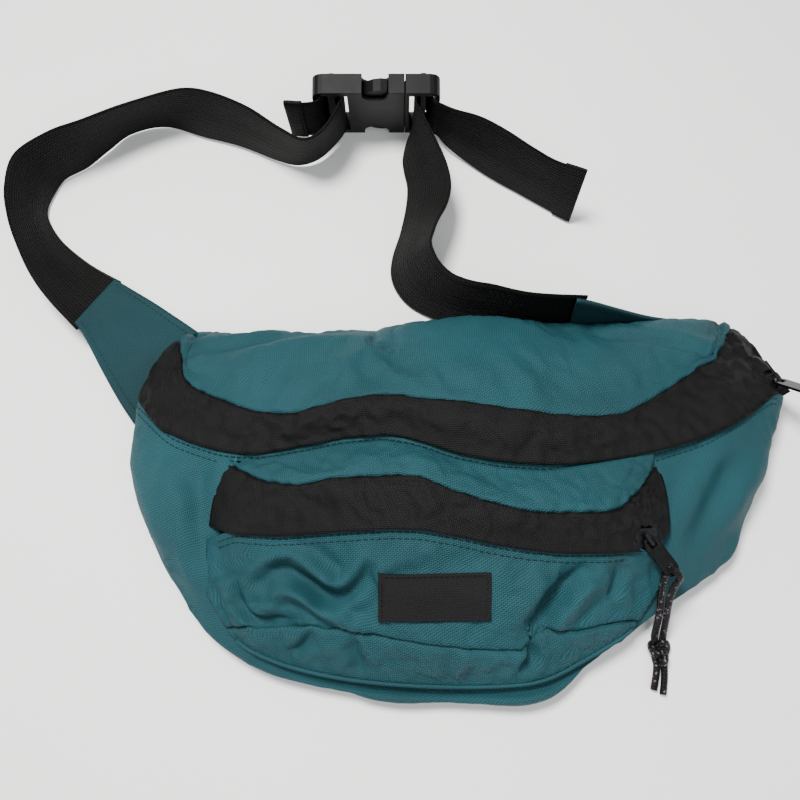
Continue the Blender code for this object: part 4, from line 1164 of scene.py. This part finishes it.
def strap(name, stations, body, node_name, hem=0.0):
    """Webbing with ribs and thick edges; hem is the length that is folded and sewn."""
    line = smooth_line(stations, max(24, round(path_length(stations) / 2.2)))
    middle = (line[:, :3] + line[:, 3:]) / 2
    across = unit(line[:, 3:] - line[:, :3])
    normal = unit(np.cross(np.gradient(middle, axis=0), across))
    run = running(middle)
    if hem:
        spots = np.sort(np.append(run, [run[-1] - hem - 0.2, run[-1] - hem + 0.2]))
        middle, across, normal = (sample(field, run, spots) for field in (middle, across, normal))
        run = spots
    from_end = run[-1] - run
    shares = np.linspace(-1, 1, 25)
    verts, uvs = [], []
    for k, at in enumerate(run):
        thick, wide = (2.1, 1.025) if from_end[k] < hem else (1.0, 1.0)
        thick *= WEBBING_THICK / 2
        wide *= WEBBING_WIDTH / 2
        if from_end[k] < 0.6:
            thick *= 0.8
        ripple = 0.35 * noise.noise((at / 26.0, 3.3, len(name)))
        for side in (1, -1):
            for share in shares[::side]:
                rib = RIB_HEIGHT * math.cos(share * math.pi * RIBS)
                edge = 1.0 - 0.55 * max(0.0, (abs(share) - 0.94) / 0.06) ** 2
                cup = 0.35 * (1 - share * share) + ripple * share
                lift = side * (thick * edge + rib) + cup
                verts.append(middle[k] + across[k] * share * wide + normal[k] * lift)
                uvs.append((at, share * WEBBING_WIDTH / 2))
    ring = 2 * len(shares)
    faces = ring_faces(len(run), ring)
    for a, flip in ((0, 1), ((len(run) - 1) * ring, -1)):
        for i in range(len(shares) - 1):
            faces.append((a + i, a + i + 1, a + ring - 2 - i, a + ring - 1 - i)[::flip])
    obj = mesh_object(name, verts, faces, MATS["webbing"], uvs)
    turn_outward(obj)
    finish_piece(obj, body, "webbing", node_name)
    if hem:
        k = int(np.argmin(np.abs(from_end - (hem - 2.0))))
        shares = np.linspace(-1, 1, 20)[:, None]
        for side, word in ((1, "a"), (-1, "b")):
            seam = middle[k] + across[k] * shares * 22.0 + normal[k] * side * 1.8
            up = np.tile(normal[k] * side, (len(shares), 1))
            stitches(f"{name}_hem_{word}", seam, up, "webbing", 0.1, 2.4, 3.0, body)
    return obj


def wing(name, first, second, node_name):
    """A flat wing of two layers of cloth with a stitched hem on its long edges."""
    middle = [tuple((np.array(a) + np.array(b)) / 2) for a, b in zip(first, second)]
    grid, _ = fine_loft([first, middle, second])
    normals = outward(grid)
    before = grid.copy()
    crumple(grid, normals, size=45.0, height=0.9, seed=41.0)
    grid = fade_edges(grid, before, 2, 3)
    normals = outward(grid)
    # The wing's darker teal is painted shade, not a different cloth
    obj = grid_object(name, grid, SHADED_WING_CLOTH)
    thicken(obj, 2.0, 0.0)
    finish_piece(obj, "pack", "teal_fabric", node_name)
    for k, row in enumerate((2, grid.shape[0] - 3)):
        line, up = grid[row, 1:-1], normals[row, 1:-1]
        for word, side in (("hem", 1), ("hem_back", -1)):
            stitches(f"{name}_{word}_{k}", line + up * side, up * side, "teal_fabric")


def belt():
    """Both straps, their free tails and the hip wings."""
    strap("belt_left", LEFT_BELT, "pack", "webbing_left")
    right = strap("belt_right", RIGHT_BELT, None, "webbing_right")
    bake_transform(right)
    strap("free_end_left", bight(LEFT_BIGHT), "pack", "tail_left", 12.0)
    strap("free_end_right", bight(RIGHT_BIGHT) + RIGHT_TAIL, "plug", "tail_right", 14.0)
    wing("hip_wing_left", WING_LEFT_INNER, WING_LEFT_OUTER, "wing_left")
    wing("hip_wing_right", WING_RIGHT_TOP, WING_RIGHT_FOOT, "wing_right")


# ------------------------------------------------- carried-over hard pieces

FINISHES = {
    "buckle_plastic": ["buckle_socket", "buckle_plug", "buckle_arm_upper", "buckle_arm_lower"],
    "slider_metal": ["main_slider", "pocket_slider"],
    "pull_enamel": ["main_pull_tab", "pocket_pull_tab"],
    "zipper_tape": ["main_zip_upper", "main_zip_lower", "pocket_zip_upper", "pocket_zip_lower"],
}


def finish_nodes():
    """Materials of the solids that stay as they are."""
    for slot, names in FINISHES.items():
        for name in names:
            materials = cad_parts[name].data.materials
            materials.clear()
            materials.append(MATS[slot])


def coils():
    """The nylon coils along both zippers."""
    for zipper in (MAIN_ZIP, POCKET_ZIP):
        frames = [arc_frame(zipper, degrees) for degrees in np.linspace(*zipper["coil"], 200)]
        up = np.array([normal for _, _, _, normal in frames])
        for side, word in ((-1, "upper"), (1, "lower")):
            line = np.array([p + s * side * 1.5 + n * 1.15 for p, _, s, n in frames])
            name = f"{zipper['name']}_coil_{word}"
            stitches(name, line, up, "zipper_tape", 0.1, 1.0, 1.35)


camera_and_stage()
pull_cord()
main_bag()
back_cloth()
label(pocket())
belt()
finish_nodes()
coils()
